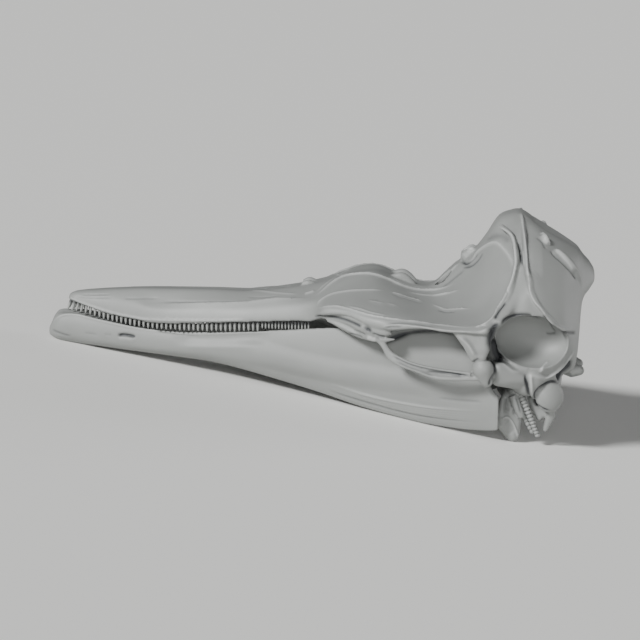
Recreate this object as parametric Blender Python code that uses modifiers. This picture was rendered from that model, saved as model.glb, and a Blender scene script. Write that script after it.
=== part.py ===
"""Porpoise skull with its lower jaw and ear bones: a smooth grey cast with a long toothed beak.

The sizes are millimetres in the skull's own frame. X runs from the beak's tip back to the
occiput, Y is 0 in the middle plane and Z is up. Places are given for the left side, with the
distance from the middle plane as a plain positive number, and the right side is its mirror.
The finished pieces are pitched nose down until the chin and the ear bones touch the surface
that the skull rests on, which is Z = 0.
"""

import math

import bmesh
import bpy
import numpy as np
from mathutils import Matrix, Vector

MM = 0.001
LEFT, RIGHT = -1.0, 1.0
BOTH_SIDES = (LEFT, RIGHT)

# The gap between the lower jaws and the one round an ear bone's root, and how deep the places
# that the skull rests on are worn flat
PIECE_GAP = 0.4
SOCKET_GAP = 0.65
REST_FLAT_DEPTH = 0.5

# Two corners of the boxes that cut the pieces square: at the chin and at the ground
BEYOND_MIDDLE = ((-200, -PIECE_GAP / 2, -40), (0, 20, 40))
GROUND = ((-250, -100, -20), (250, 100, 0))

# How finely the forms are fused, and how many triangles each piece keeps
CORE_VOXEL, DETAIL_VOXEL, EAR_VOXEL = 1.3, 0.9, 0.7
CORE_SMOOTH, DETAIL_SMOOTH, EAR_SMOOTH = 7, 2, 2
CRANIUM_TRIANGLES = 3450
JAW_TRIANGLES = 620
BULLA_TRIANGLES = 280

# The beak and the roof of the face: X, then the half widths and the heights of nine places
# from the top's middle, round the left rim, to the palate's middle
FACE_STATIONS = [
    (-157, (0, 1.6, 2.8, 3.4, 3.6, 3, 2.4, 1.2, 0), (12, 11.8, 11.2, 10.2, 9.4, 8.6, 8.4, 8.4, 8.5)),
    (-151, (0, 2.6, 4.6, 5.6, 6, 5.2, 3.8, 2, 0), (13.6, 13.5, 12.3, 10.6, 8.4, 7.4, 7.9, 8.1, 8.2)),
    (-142, (0, 3.5, 6, 7.6, 8.4, 7.4, 5.6, 3, 0), (14.8, 14.6, 12.9, 10.2, 6.1, 5.2, 6.7, 6.8, 7)),
    (-127, (0, 5, 8.6, 11, 12.2, 10.8, 8.4, 4.5, 0), (16.2, 15.9, 13.1, 9, 2.3, 1.4, 4.1, 4.8, 5)),
    (-111, (0, 6, 11, 13.8, 15.2, 13.6, 10.8, 6, 0), (17.2, 16.9, 12, 7.7, 0.2, -0.6, 2.6, 3.5, 3.8)),
    (-96, (0, 7, 13, 16.2, 18, 16.2, 13, 7, 0), (18, 17.6, 10.3, 6.7, -0.8, -1.5, 2.1, 3.2, 3.6)),
    (-64, (0, 8, 17.5, 21.6, 24, 22, 18.4, 9, 0), (18, 18, 11.9, 8.2, 1.4, 0.7, 4, 4.9, 5.4)),
    (-40, (0, 9, 21.5, 25.8, 28, 26, 22.5, 11, 0), (18, 18, 12.8, 9.6, 3.1, 2.4, 4.8, 5.4, 6)),
    (-15, (0, 11, 26.5, 31.6, 34, 32, 28, 14, 0), (21.5, 21.4, 16.6, 12.9, 5.4, 4.5, 5.5, 4.2, 5)),
    (-3, (0, 13, 31, 36.6, 39, 37, 32, 16, 0), (24, 24, 18.5, 15, 6.4, 5.4, 5.9, 3.7, 4.4)),
    (4.5, (0, 13, 25, 40, 50, 49.5, 36, 18, 0), (26.3, 26.2, 23.8, 18.6, 15.2, 11, 6.7, 3, 3)),
    (20, (0, 11, 20.5, 42, 59, 59, 38, 20, 0), (31, 31.6, 30.9, 23.4, 17, 12.6, 6.9, 0.9, 0)),
    (32, (0, 11, 21, 46, 67, 67, 40, 22, 0), (32.6, 33, 31.7, 22.8, 15, 7.4, 5.8, -1.2, -3)),
    (44, (0, 10, 20, 48, 72, 72, 42, 22, 0), (28.6, 28.9, 27.5, 21, 13.6, 6.8, 7.4, -4.2, -6)),
    (56, (0, 10, 18, 50, 75.5, 75.5, 44, 23, 0), (24.6, 25, 23.4, 18.2, 12.7, 8.6, 8.6, -5.2, -8)),
    (66, (0, 10, 18, 52, 78, 78, 47, 24, 0), (25, 24.6, 22.8, 16.8, 11.8, 9.4, 8.9, -7.3, -9)),
    (73, (0, 10, 20, 54, 79.5, 79.5, 49, 25, 0), (32, 30.4, 25.4, 16.5, 11.1, 8.3, 8.8, -8.3, -10)),
    (80, (0, 11, 24, 55, 80.5, 80.5, 50, 25, 0), (38.5, 36, 28.2, 16.8, 10.9, 8.1, 8.7, -8.3, -10)),
    (90, (0, 13, 31, 57, 81.5, 81.5, 52, 26, 0), (46.5, 43.5, 32, 18.9, 11.4, 7.8, 8.2, -9.4, -11)),
    (97, (0, 15, 35, 58, 82, 82, 54, 26, 0), (55.5, 52.3, 38, 21.9, 12, 7.6, 7.1, -10.4, -12)),
    (104, (0, 17, 36, 57, 81, 81, 54, 26, 0), (66.5, 63, 46, 28.9, 15.4, 10, 6.1, -11.4, -12)),
    (111, (0, 17, 36, 56, 75, 75, 53, 26, 0), (69.4, 67, 54, 34.5, 21, 14.6, 5.1, -12.4, -13)),
    (117, (0, 16, 38, 56, 68, 66, 50, 25, 0), (70, 68.5, 58.9, 40.5, 26.3, 18.4, 3.3, -13.3, -14)),
    (124, (0, 18, 40, 56, 60, 58, 46, 24, 0), (64.5, 64.5, 54.8, 39, 24.8, 14.9, 1.5, -13.3, -14)),
]

# The braincase: X, then the half widths and the heights of nine places from the top's middle
# round the left side to the base
BRAINCASE_STATIONS = [
    (94, (0, 18, 34, 46, 50, 48, 38, 19, 0), (34, 32, 25, 15, 4, -8, -18, -22, -21)),
    (104, (0, 20, 40, 55, 61, 59, 46, 22, 0), (50, 46.9, 35.8, 21.2, 5, -10.8, -22.3, -27.2, -26)),
    (112, (0, 20, 42, 58, 70, 68, 52, 26, 0), (60, 58.9, 45.7, 30.9, 19.2, -5.7, -20.8, -29.4, -28)),
    (118, (0, 20, 44, 59, 72, 71, 56, 28, 0), (66, 64.9, 52.6, 37.8, 21.1, -3.8, -21, -30.5, -29)),
    (124, (0, 22, 46, 61, 71, 71, 60, 30, 0), (63.5, 64, 55, 40.7, 21.7, -3.8, -21.2, -31.6, -30)),
    (133, (0, 22, 41, 56.5, 67.5, 69, 61, 34, 0), (57.6, 58.8, 52, 37.8, 19.7, -3.7, -19, -29.5, -28)),
    (143, (0, 20, 35, 49, 59.5, 60, 54, 32, 0), (52.5, 53, 47, 33.1, 13.5, -5, -17.5, -22, -21)),
    (151, (0, 17, 29, 38, 46, 47, 40, 24, 0), (48.5, 47.5, 39, 24, 6, -6, -14, -16.5, -16)),
    (154, (0, 13, 22, 27, 27, 22, 16, 8, 0), (45, 43.5, 36.5, 27, 21, 18.5, 18, 18, 18)),
    (158, (0, 9, 15, 18, 18, 15, 10, 5, 0), (41, 39.5, 35, 29.5, 26.5, 25, 24.5, 24.5, 24.5)),
    (161.5, (0, 5, 9, 10, 10, 9, 6, 3, 0), (35.5, 34.8, 32.5, 31, 30.2, 29.6, 29.3, 29.3, 29.3)),
]

# The skull's base from the palate back to the condyles: X, half width, top, bottom
BASE_STATIONS = [
    (-10, 18, 12, 4), (10, 24, 12, -4), (30, 25, 14, -12), (55, 22, 14, -22), (75, 18, 14, -28),
    (95, 22, 14, -25), (118, 32, 14, -29), (134, 32, 14, -30), (141, 22, 4, -25),
]

# Round forms of the cranium: centre, radii, and turns about Y and Z in degrees
SQUAMOSAL = [((116, 61, -18), (10, 9, 8.5), 0, 0), ((123, 59, -20.6), (11, 9, 10.5), 0, 0)]
EXOCCIPITAL = [((131.5, 50, -21.5), (11.5, 12, 12.5), 0, 0)]
PAROCCIPITAL = [((136, 57.5, -31.2), (8.6, 6.2, 9.2), -6, 0)]
OCCIPITAL_BUMP = [((130.5, 34, 54.3), (3.6, 4.5, 4.6), 0, 0)]
TEMPORAL_FOSSA = [((129.5, 92, 2.1), (28, 42, 18.7), 8, 10)]
FORAMEN_MAGNUM = ((158, 0, -11), (17, 9, 9), 0, 0)
BONY_NOSTRILS = [((72.5, 9, 22), (5.5, 4.8, 13), 16, 0)]

# Plates and knobs drawn tight over balls: each ball's centre and radius
POSTORBITAL_TOP = [((81.9, 79.6, 9), 2.0), ((103.2, 79, 11.6), 2.6), ((100.1, 80, 1.4), 2.2),
                   ((87.4, 80.4, 0.9), 1.4)]
POSTORBITAL_TIP = [((87.4, 80.4, 0.9), 1.4), ((99.8, 80.2, 1), 2.2), ((91.8, 79.8, -7.5), 1.2),
                   ((97.2, 80.3, -5.6), 2.2)]
ZYGOMATIC_KNOB = [((97.6, 77.5, -12.6), 6.1), ((100, 77, -19.6), 3.6)]
SQUAMOSAL_BODY = [((105.8, 71, -13.2), 4.4), ((119.3, 66.5, -19.3), 3.8), ((106.4, 71, -19.8), 3.8),
                  ((117.5, 65, -22.6), 3.6), ((124, 60, -22), 5.0), ((103.5, 64, -13.4), 5.2)]
CONDYLE = [((143, 15, -20.5), 4.2), ((149.4, 12.4, -25.2), 2.6), ((154, 12, -23.6), 3.0)]
NASAL_KNOB = [((84.3, 5.5, 42.6), 2.2), ((84.3, 5.5, 39.8), 2.2), ((89, 5.5, 45.2), 2.0),
              ((93, 6.5, 45), 2.0), ((89, 8, 39), 3.0)]
BASE_SPUR = [((136.5, 54, -37.5), 3.4), ((137.8, 52, -44), 2.6), ((134.4, 52, -51.4), 1.5)]
PLATES = [POSTORBITAL_TOP, POSTORBITAL_TIP, ZYGOMATIC_KNOB, SQUAMOSAL_BODY, CONDYLE, NASAL_KNOB,
          BASE_SPUR]

# Tapering bars of the cranium: the places along each, with the radius there
JUGAL_UPPER = [((37.6, 68.4, 2), 1.5), ((41, 69.5, -1.6), 1.5), ((45.7, 71, -7), 1.6),
               ((53.3, 74, -10.4), 1.6), ((62, 76, -12.6), 1.5), ((73.4, 77.3, -14.3), 1.5),
               ((91, 78.6, -15.8), 1.5)]
JUGAL_MIDDLE = [((41.5, 70, -2.6), 1.3), ((46, 71, -9), 1.5), ((53.5, 73.4, -12.6), 1.5),
                ((62, 75.2, -15), 1.3), ((72, 76.2, -16.6), 1.2), ((91, 78, -17.4), 1.3)]
JUGAL_LOWER = [((37, 68.4, 1.4), 1.4), ((40.8, 70, -2.4), 1.4), ((44.6, 71.2, -8.6), 1.5),
               ((50.8, 73.4, -12), 1.5), ((59.2, 75.6, -14.4), 1.4), ((69, 77, -17.8), 1.4),
               ((76.4, 78, -18.7), 1.4),
               ((95, 78.6, -18.2), 1.4)]
LACRIMAL_UPPER = [((4, 44, 10.8), 2.2), ((18, 55, 10.2), 2.8), ((30, 65, 6.8), 3.2), ((42, 70, 5.4), 2.6)]
LACRIMAL_LOWER = [((8, 46, 8.5), 1.6), ((20, 56, 5), 2.6), ((30, 64, 2.6), 2.6), ((37, 68, 2.2), 2.2),
                  ((41, 69.6, 1.2), 1.6)]
TEMPORAL_RIDGE = [((98, 80, 12.4), 1.7), ((105, 75.5, 18.4), 1.6), ((111, 67, 27), 1.6),
                  ((113.6, 59, 36.8), 1.6), ((115.2, 52, 45.8), 1.7), ((114.2, 46, 52.6), 1.7),
                  ((111.5, 36, 59.2), 1.6), ((106, 24, 62.8), 1.2)]
LAMBDOID_CREST = [((116.6, 14, 68.2), 1.4), ((118.3, 28, 63.4), 1.6), ((119.5, 42, 57), 1.7),
                  ((121, 59.4, 42.4), 1.8), ((122.6, 63.4, 36.6), 1.8), ((124, 67, 30), 1.7),
                  ((129.4, 69.4, 21.4), 1.5), ((140.6, 62.4, 9.9), 1.4), ((150.3, 45, 5.3), 1.0)]
MEDIAN_BUMP = [((40, 8, 27.8), 1.8), ((46.6, 8, 29.4), 2.5), ((50.5, 8, 28.2), 2.3),
               ((55, 8, 24.6), 1.6)]
SMALL_BUMP = [((-12, 6, 23), 1.2), ((-8.2, 6, 24), 1.8), ((-4.8, 6, 23.6), 1.2)]
SQUAMOSAL_CREST = [((122.6, 66, -15.6), 1.3), ((126, 64.5, -24), 1.4), ((127.5, 61.5, -32), 1.2)]
OCCIPITAL_LUMP = [((136.5, 36, 49.4), 2.8), ((143, 35, 44.6), 3.2), ((149.2, 31.5, 36.4), 3.0),
                  ((151.8, 29, 29.4), 1.8)]
BARS = [JUGAL_UPPER, JUGAL_MIDDLE, JUGAL_LOWER, LACRIMAL_UPPER, LACRIMAL_LOWER, TEMPORAL_RIDGE,
        LAMBDOID_CREST, MEDIAN_BUMP, SMALL_BUMP, SQUAMOSAL_CREST, OCCIPITAL_LUMP]

# The left lower jaw: X, then the half widths and the heights of eight places round it, from
# the outer rim down the outer side, under the lower edge and up the inner side
JAW_STATIONS = [
    (-165, (3, 3.8, 3.4, 1.6, -1, -1, -1, 1.2), (-7.6, -9.4, -11.2, -12.3, -12.1, -10.1, -7.4, -7.2)),
    (-161.5, (6.8, 8, 7, 3.6, -1, -1, -1, 3.2), (-2.8, -7.2, -11.6, -13.8, -13.7, -8.2, -1.6, -1.6)),
    (-157, (9, 10.8, 9.6, 5, -1, -1, -1, 4.4), (0.6, -5.4, -11.6, -15, -14.9, -7.1, 1.2, 0.8)),
    (-147, (10, 12.4, 11.4, 6, -1, -1, -1, 5), (1, -4.7, -11.6, -16.3, -15.9, -7.1, 0.5, 0.3)),
    (-135, (12, 14.6, 13.4, 7.4, -1, -1, -1, 6), (-0.8, -6.8, -13.7, -17.4, -16.7, -8.1, -1.9, -2.7)),
    (-118, (14.8, 17, 15.8, 10, 2.4, 1.2, 3.2, 9.2), (-3.4, -8.9, -15.3, -18.9, -17.7, -10.1, -4.8, -5.9)),
    (-106, (17, 19, 17.8, 12, 7, 5.4, 8, 12.5), (-4.8, -10.4, -16.4, -19.8, -18.4, -11.3, -6, -7.7)),
    (-81, (22, 24, 22.8, 17, 13, 12, 13.5, 17.8), (-6.3, -11.9, -17.6, -21.5, -19.9, -12.6, -7.1, -9)),
    (-57, (27, 29, 28, 22.5, 19, 18, 19, 23), (-4.1, -11, -18.5, -23.8, -21.2, -12, -5, -6.4)),
    (-20, (35, 37.6, 36.5, 31, 28, 27.6, 28.5, 32), (-0.5, -10, -22, -31.4, -28, -12.5, -2.5, -2.7)),
    (1.5, (40, 43, 42, 36, 33, 33.5, 34.5, 37.4), (1.5, -10.3, -24.3, -36.4, -32, -12.8, 0.1, 0.6)),
    (27, (47, 50, 49, 43, 40, 41, 43, 45), (3.1, -10.7, -28.6, -42.9, -37, -12.2, 2.1, 3.6)),
    (52, (55, 57.5, 56, 50, 47, 48.5, 50.6, 52.8), (4.4, -11.1, -33, -47.7, -41.4, -12.6, 3.4, 5.2)),
    (66, (58.5, 61, 60, 54, 51, 53, 54.6, 56.6), (7, -11.3, -34.2, -49.6, -43.2, -13.9, 6.1, 7.9)),
    (82, (61.4, 64.4, 63.4, 57.8, 55.4, 57, 58.2, 59.8), (3, -11.5, -35.4, -51.1, -44, -15.1, 2.5, 4)),
    (95, (65.4, 67, 66.5, 62, 59.6, 61, 63, 64.4), (-9, -17, -37.6, -51.3, -44, -20.5, -10, -8.4)),
    (102.5, (67, 68.6, 68, 64.5, 62, 63, 64.6, 66), (-25.4, -30.5, -39.7, -50.8, -46, -32, -27, -25)),
    (107, (68.4, 69, 69, 66.5, 64, 64.6, 66, 67.4), (-31, -34.5, -41.7, -49.9, -46.2, -36.2, -32, -30.5)),
]

# The upper teeth: a long row of pegs along the rim, then a short row of small ones
TOOTH_ROOTS = [(-152.6, 2.8, 7.8), (-142, 6.6, 6.6), (-127, 9.8, 3.1), (-111, 12.6, 1.1), (-96, 15.2, 0.4),
               (-64, 20.8, 2.3), (-40, 24.8, 3.9), (-15, 30.4, 5.2), (-3, 33.4, 5.8)]
TOOTH_COUNT, TOOTH_PITCH = 43, 2.84
TOOTH_LENGTH, TOOTH_RADIUS = 5.6, 0.85
SMALL_TOOTH_COUNT, SMALL_TOOTH_PITCH = 15, 2.05
SMALL_TOOTH_LENGTH, SMALL_TOOTH_RADIUS = 3.6, 0.55
TOOTH_BURIED = 1.6
TOOTH_TIP_SHARE = 0.6
FIRST_TOOTH_LEAN, LEANING_LENGTH = 2.0, 20.0

# The ear bones: the balls of the bulla, its root in the cranium's base, and what hangs behind
BULLA = [((111, 55.5, -34.2), 3.2), ((108.4, 56.5, -42), 3.8), ((110, 55.5, -47.8), 4.4),
         ((115.2, 54, -54.8), 4.3), ((117.4, 54.5, -47.2), 2.8), ((112, 50, -42), 5.5),
         ((114, 50, -48.5), 5.5), ((113.4, 50.5, -32), 4.4)]
EAR_ROOT = ((117.5, 54, -28.5), (5.5, 5.5, 5.5), 0, 0)
PERIOTIC = [((115.4, 57.4, -31), 2.6), ((118, 57.4, -37.5), 2.4), ((120.4, 56.4, -43.4), 2.0)]
RIDGED_ROD = [((119, 57.2, -30), 1.7), ((124.6, 56.5, -43), 1.8), ((130.1, 53.6, -56.2), 0.9)]
SMALL_ROD = [((120, 56.4, -41), 1.6), ((127.2, 53.4, -53.9), 0.8)]
ROD_RIDGES, SMALL_ROD_RIDGES = 13, 6
RIDGE_NECK_SHARE = 0.74

# Colour of the plain grey cast, as linear red, green and blue
CAST_GREY = (0.42, 0.43, 0.42, 1.0)
CAST_ROUGHNESS = 0.55


def clear_scene():
    """Removes the objects that a new file starts with."""
    for old in list(bpy.data.objects):
        bpy.data.objects.remove(old, do_unlink=True)


def new_collection(name):
    """A collection in the scene."""
    made = bpy.data.collections.new(name)
    bpy.context.scene.collection.children.link(made)
    return made


clear_scene()
SKULL = new_collection("dalls_porpoise_skull")
CUTTERS = new_collection("cutters")


def cast_material(name):
    """The plain grey finish of one piece."""
    made = bpy.data.materials.new(name)
    made.use_nodes = True
    shader = made.node_tree.nodes["Principled BSDF"]
    shader.inputs["Base Color"].default_value = CAST_GREY
    shader.inputs["Roughness"].default_value = CAST_ROUGHNESS
    shader.inputs["Metallic"].default_value = 0.0
    return made


def add_object(name, mesh=None, collection=SKULL):
    """An object at the origin that holds a mesh, or an empty one."""
    made = bpy.data.objects.new(name, mesh or bpy.data.meshes.new(name))
    collection.objects.link(made)
    return made


def mesh_from(name, points, faces):
    """A mesh in metres from places in millimetres, with its faces turned outwards."""
    mesh = bpy.data.meshes.new(name)
    shape = bmesh.new()
    corners = [shape.verts.new(Vector(point) * MM) for point in points]
    for face in faces:
        shape.faces.new([corners[i] for i in face])
    bmesh.ops.recalc_face_normals(shape, faces=shape.faces)
    shape.to_mesh(mesh)
    shape.free()
    return mesh


def along_curve(rows, steps):
    """Rows read at fractional steps along a smooth curve that passes through every row."""
    rows = np.array(rows, dtype=float)
    padded = np.concatenate([2 * rows[:1] - rows[1:2], rows, 2 * rows[-1:] - rows[-2:-1]])
    spans = np.minimum(steps.astype(int), len(rows) - 2)
    t = (steps - spans)[:, None]
    p0, p1, p2, p3 = (padded[spans + k] for k in range(4))
    cubic = 2 * p1 + (p2 - p0) * t + (2 * p0 - 5 * p1 + 4 * p2 - p3) * t**2
    return 0.5 * (cubic + (3 * p1 - p0 - 3 * p2 + p3) * t**3)


def smooth_rows(rows, count):
    """An even number of rows along the smooth curve through the given ones."""
    return along_curve(rows, np.linspace(0, len(rows) - 1, count))


def lofted_sections(xs, sections, count):
    """Sections at even distances along X, read smoothly between the given ones."""
    xs = np.array(xs, dtype=float)
    table = np.concatenate([xs[:, None], np.array(sections).reshape(len(xs), -1)], axis=1)
    steps = np.interp(np.linspace(xs[0], xs[-1], count), xs, np.arange(len(xs)))
    return [(row[0], row[1:].reshape(-1, 2)) for row in along_curve(table, steps)]


def ring_loft(name, rings):
    """A closed mesh through rings of places, with a face over each end."""
    rings = np.array(rings)
    count, around = rings.shape[:2]
    faces = []
    for i in range(count - 1):
        for j in range(around):
            k = (j + 1) % around
            faces.append((i * around + j, i * around + k, (i + 1) * around + k, (i + 1) * around + j))
    faces.append(tuple(range(around)))
    faces.append(tuple((count - 1) * around + j for j in reversed(range(around))))
    return mesh_from(name, rings.reshape(-1, 3), faces)


def mirrored_loft(name, stations, count=70, half_points=40):
    """A loft that is the same on both sides, from half outlines at places along X."""
    halves = [smooth_rows(list(zip(widths, heights)), half_points) for x, widths, heights in stations]
    rings = []
    for x, half in lofted_sections([station[0] for station in stations], halves, count):
        left = [(x, LEFT * y, z) for y, z in half]
        right = [(x, RIGHT * y, z) for y, z in half[-2:0:-1]]
        rings.append(left + right)
    return ring_loft(name, rings)


def closed_loft(name, stations, side, count=80, points_between=4):
    """A loft of one side's closed outlines at places along X."""
    loops = []
    for x, widths, heights in stations:
        loop = list(zip(widths, heights))
        reach = loop[-2:] + loop + loop[:2]
        dense = smooth_rows(reach, (len(reach) - 1) * points_between + 1)
        loops.append(dense[2 * points_between : (2 + len(loop)) * points_between])
    rings = []
    for x, loop in lofted_sections([station[0] for station in stations], loops, count):
        rings.append([(x, side * y, z) for y, z in loop])
    return ring_loft(name, rings)


def base_loft(name, stations):
    """A loft of ovals along X, from the half width, the top and the bottom at each place."""
    turns = [math.pi * k / 8 for k in range(9)]
    rows = []
    for x, half_width, top, bottom in stations:
        middle, height = (top + bottom) / 2, (top - bottom) / 2
        widths = [half_width * math.sin(a) for a in turns]
        heights = [middle + height * math.cos(a) for a in turns]
        rows.append((x, widths, heights))
    return mirrored_loft(name, rows, count=40, half_points=17)


def ellipsoid(name, form, side, grown=0.0):
    """A round form from its centre, radii and turns, grown by a distance all round."""
    (x, y, z), radii, turn_y, turn_z = form
    mesh = bpy.data.meshes.new(name)
    shape = bmesh.new()
    bmesh.ops.create_uvsphere(shape, u_segments=32, v_segments=20, radius=1.0)
    size = Matrix.Diagonal((*((radius + grown) * MM for radius in radii), 1.0))
    turn = Matrix.Rotation(math.radians(turn_y), 4, "Y")
    turn = turn @ Matrix.Rotation(math.radians(-side * turn_z), 4, "Z")
    place = Matrix.Translation(Vector((x, side * y, z)) * MM)
    bmesh.ops.transform(shape, matrix=place @ turn @ size, verts=shape.verts)
    shape.to_mesh(mesh)
    shape.free()
    return mesh


def plate(name, balls, side):
    """A form drawn tight over balls, from each ball's centre and radius."""
    mesh = bpy.data.meshes.new(name)
    shape = bmesh.new()
    for (x, y, z), radius in balls:
        place = Matrix.Translation(Vector((x, side * y, z)) * MM)
        bmesh.ops.create_icosphere(shape, subdivisions=2, radius=radius * MM, matrix=place)
    hull = bmesh.ops.convex_hull(shape, input=shape.verts)
    inside = {item for item in hull["geom_interior"] if isinstance(item, bmesh.types.BMVert)}
    bmesh.ops.delete(shape, geom=list(inside), context="VERTS")
    kept = {item for item in hull["geom"] if isinstance(item, bmesh.types.BMFace) and item.is_valid}
    spare = [face for face in shape.faces if face not in kept]
    bmesh.ops.delete(shape, geom=spare, context="FACES")
    bmesh.ops.recalc_face_normals(shape, faces=shape.faces)
    shape.to_mesh(mesh)
    shape.free()
    return mesh


def tube(name, rows, roundness):
    """A round tube through rows of X, Y, Z and radius, from a curve with a bevel."""
    curve = bpy.data.curves.new(name, "CURVE")
    curve.dimensions = "3D"
    curve.bevel_depth = MM
    curve.bevel_resolution = roundness
    curve.use_fill_caps = True
    path = curve.splines.new("POLY")
    path.points.add(len(rows) - 1)
    for point, (x, y, z, radius) in zip(path.points, rows):
        point.co = (x * MM, y * MM, z * MM, 1.0)
        point.radius = radius
    guide = add_object(name, curve, CUTTERS)
    mesh = evaluated_mesh(guide)
    bpy.data.objects.remove(guide)
    shape = bmesh.new()
    shape.from_mesh(mesh)
    bmesh.ops.remove_doubles(shape, verts=shape.verts, dist=1e-6)
    bmesh.ops.recalc_face_normals(shape, faces=shape.faces)
    shape.to_mesh(mesh)
    shape.free()
    return mesh


def bar_rows(places, side):
    """A bar's places and radii as rows, on one side."""
    return [(x, side * y, z, radius) for (x, y, z), radius in places]


def bar(name, places, side):
    """A tapering round bar along a smooth curve through its places."""
    return tube(name, smooth_rows(bar_rows(places, side), 4 * len(places)), roundness=3)


def ridged_bar(name, places, ridges, side):
    """A tapering bar with rings round it, wide at each ridge and narrow between them."""
    rows = smooth_rows(bar_rows(places, side), 2 * ridges + 1)
    rows[::2, 3] *= RIDGE_NECK_SHARE
    return tube(name, rows, roundness=1)


def evaluated_mesh(thing):
    """A plain mesh of an object with its modifiers."""
    graph = bpy.context.evaluated_depsgraph_get()
    return bpy.data.meshes.new_from_object(thing.evaluated_get(graph))


def join_meshes(name, meshes):
    """One mesh that holds the faces of several."""
    joined = bpy.data.meshes.new(name)
    shape = bmesh.new()
    for mesh in meshes:
        shape.from_mesh(mesh)
    shape.to_mesh(joined)
    shape.free()
    return joined


def apply_modifiers(thing):
    """Gives an object the mesh that its modifiers make, and removes them."""
    mesh = evaluated_mesh(thing)
    thing.modifiers.clear()
    thing.data = mesh


def fuse(thing, meshes, voxel, smooth):
    """Joins overlapping forms into one skin, and softens where they meet."""
    thing.data = join_meshes(thing.name, meshes)
    remesh = thing.modifiers.new("fuse", "REMESH")
    remesh.mode = "VOXEL"
    remesh.voxel_size = voxel * MM
    soften = thing.modifiers.new("soften", "SMOOTH")
    soften.factor = 0.5
    soften.iterations = smooth
    apply_modifiers(thing)


def boolean(thing, meshes, operation):
    """Cuts closed forms out of an object with DIFFERENCE, or joins them to it with UNION."""
    tool = add_object(f"{thing.name}_tool", join_meshes("tool", meshes), CUTTERS)
    tool.hide_render = True
    tool.display_type = "WIRE"
    cut = thing.modifiers.new("cut", "BOOLEAN")
    cut.operation = operation
    cut.solver = "EXACT"
    cut.object = tool
    apply_modifiers(thing)
    bpy.data.objects.remove(tool)


def thin_out(thing, triangles):
    """Lowers a piece's number of triangles."""
    thing.data.calc_loop_triangles()
    collapse = thing.modifiers.new("thin", "DECIMATE")
    collapse.ratio = triangles / len(thing.data.loop_triangles)
    apply_modifiers(thing)


def box(name, lowest, highest):
    """A closed box between two corners."""
    mesh = bpy.data.meshes.new(name)
    shape = bmesh.new()
    bmesh.ops.create_cube(shape, size=1.0)
    size = Vector(highest) - Vector(lowest)
    middle = (Vector(highest) + Vector(lowest)) / 2
    matrix = Matrix.Translation(middle * MM) @ Matrix.Diagonal((*(size * MM), 1.0))
    bmesh.ops.transform(shape, matrix=matrix, verts=shape.verts)
    shape.to_mesh(mesh)
    shape.free()
    return mesh


def both_sides(make, forms):
    """The meshes of several forms on both sides."""
    return [make(f"form_{i}", form, side) for i, form in enumerate(forms) for side in BOTH_SIDES]


def tooth(place, length, radius, lean):
    """A peg with four sides that hangs from its root and narrows to its tip."""
    root = Vector(place) + Vector((0, 0, TOOTH_BURIED))
    tip = Vector(place) + Vector((-lean, 0, -length))
    points = []
    for centre, size in ((root, radius), (tip, radius * TOOTH_TIP_SHARE)):
        for dx, dy in ((-1, 0), (0, -1), (1, 0), (0, 1)):
            points.append(centre + Vector((dx, dy, 0)) * size)
    faces = [(3, 2, 1, 0), (4, 5, 6, 7)]
    faces += [(k, (k + 1) % 4, 4 + (k + 1) % 4, 4 + k) for k in range(4)]
    return mesh_from("tooth", points, faces)


def tooth_rows():
    """The pegs of both upper rows, as separate closed meshes."""
    line = smooth_rows(TOOTH_ROOTS, 400)
    walked = np.concatenate([[0], np.cumsum(np.linalg.norm(np.diff(line, axis=0), axis=1))])
    pegs = [(i * TOOTH_PITCH, TOOTH_LENGTH, TOOTH_RADIUS) for i in range(TOOTH_COUNT)]
    start = TOOTH_COUNT * TOOTH_PITCH
    for i in range(SMALL_TOOTH_COUNT):
        pegs.append((start + i * SMALL_TOOTH_PITCH, SMALL_TOOTH_LENGTH, SMALL_TOOTH_RADIUS))
    made = []
    for at, length, radius in pegs:
        x, y, z = (np.interp(at, walked, line[:, k]) for k in range(3))
        lean = FIRST_TOOTH_LEAN * max(0.0, 1.0 - at / LEANING_LENGTH)
        made += [tooth((x, side * y, z), length, radius, lean) for side in BOTH_SIDES]
    return made


def cranium():
    """The braincase, face, beak, cheek arches and upper teeth, which grew as one piece."""
    piece = add_object("cranium")
    core = [mirrored_loft("face", FACE_STATIONS), mirrored_loft("braincase", BRAINCASE_STATIONS)]
    core.append(base_loft("base", BASE_STATIONS))
    core += both_sides(ellipsoid, SQUAMOSAL + EXOCCIPITAL)
    fuse(piece, core, CORE_VOXEL, CORE_SMOOTH)
    boolean(piece, both_sides(ellipsoid, TEMPORAL_FOSSA), "DIFFERENCE")
    boolean(piece, both_sides(ellipsoid, BONY_NOSTRILS), "DIFFERENCE")
    boolean(piece, [ellipsoid("foramen", FORAMEN_MAGNUM, LEFT)], "DIFFERENCE")
    knobs = both_sides(ellipsoid, PAROCCIPITAL + OCCIPITAL_BUMP)
    added = knobs + both_sides(bar, BARS) + both_sides(plate, PLATES)
    fuse(piece, [piece.data] + added, DETAIL_VOXEL, DETAIL_SMOOTH)
    thin_out(piece, CRANIUM_TRIANGLES)
    sockets = [ellipsoid("socket", EAR_ROOT, side, grown=SOCKET_GAP) for side in BOTH_SIDES]
    boolean(piece, sockets, "DIFFERENCE")
    boolean(piece, tooth_rows(), "UNION")
    return piece


def lower_jaw():
    """The left half of the lower jaw, cut off square where it meets the other half."""
    piece = add_object("lower_jaw_left")
    fuse(piece, [closed_loft("jaw", JAW_STATIONS, LEFT)], DETAIL_VOXEL, DETAIL_SMOOTH)
    thin_out(piece, JAW_TRIANGLES)
    boolean(piece, [box("beyond", *BEYOND_MIDDLE)], "DIFFERENCE")
    return piece


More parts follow.
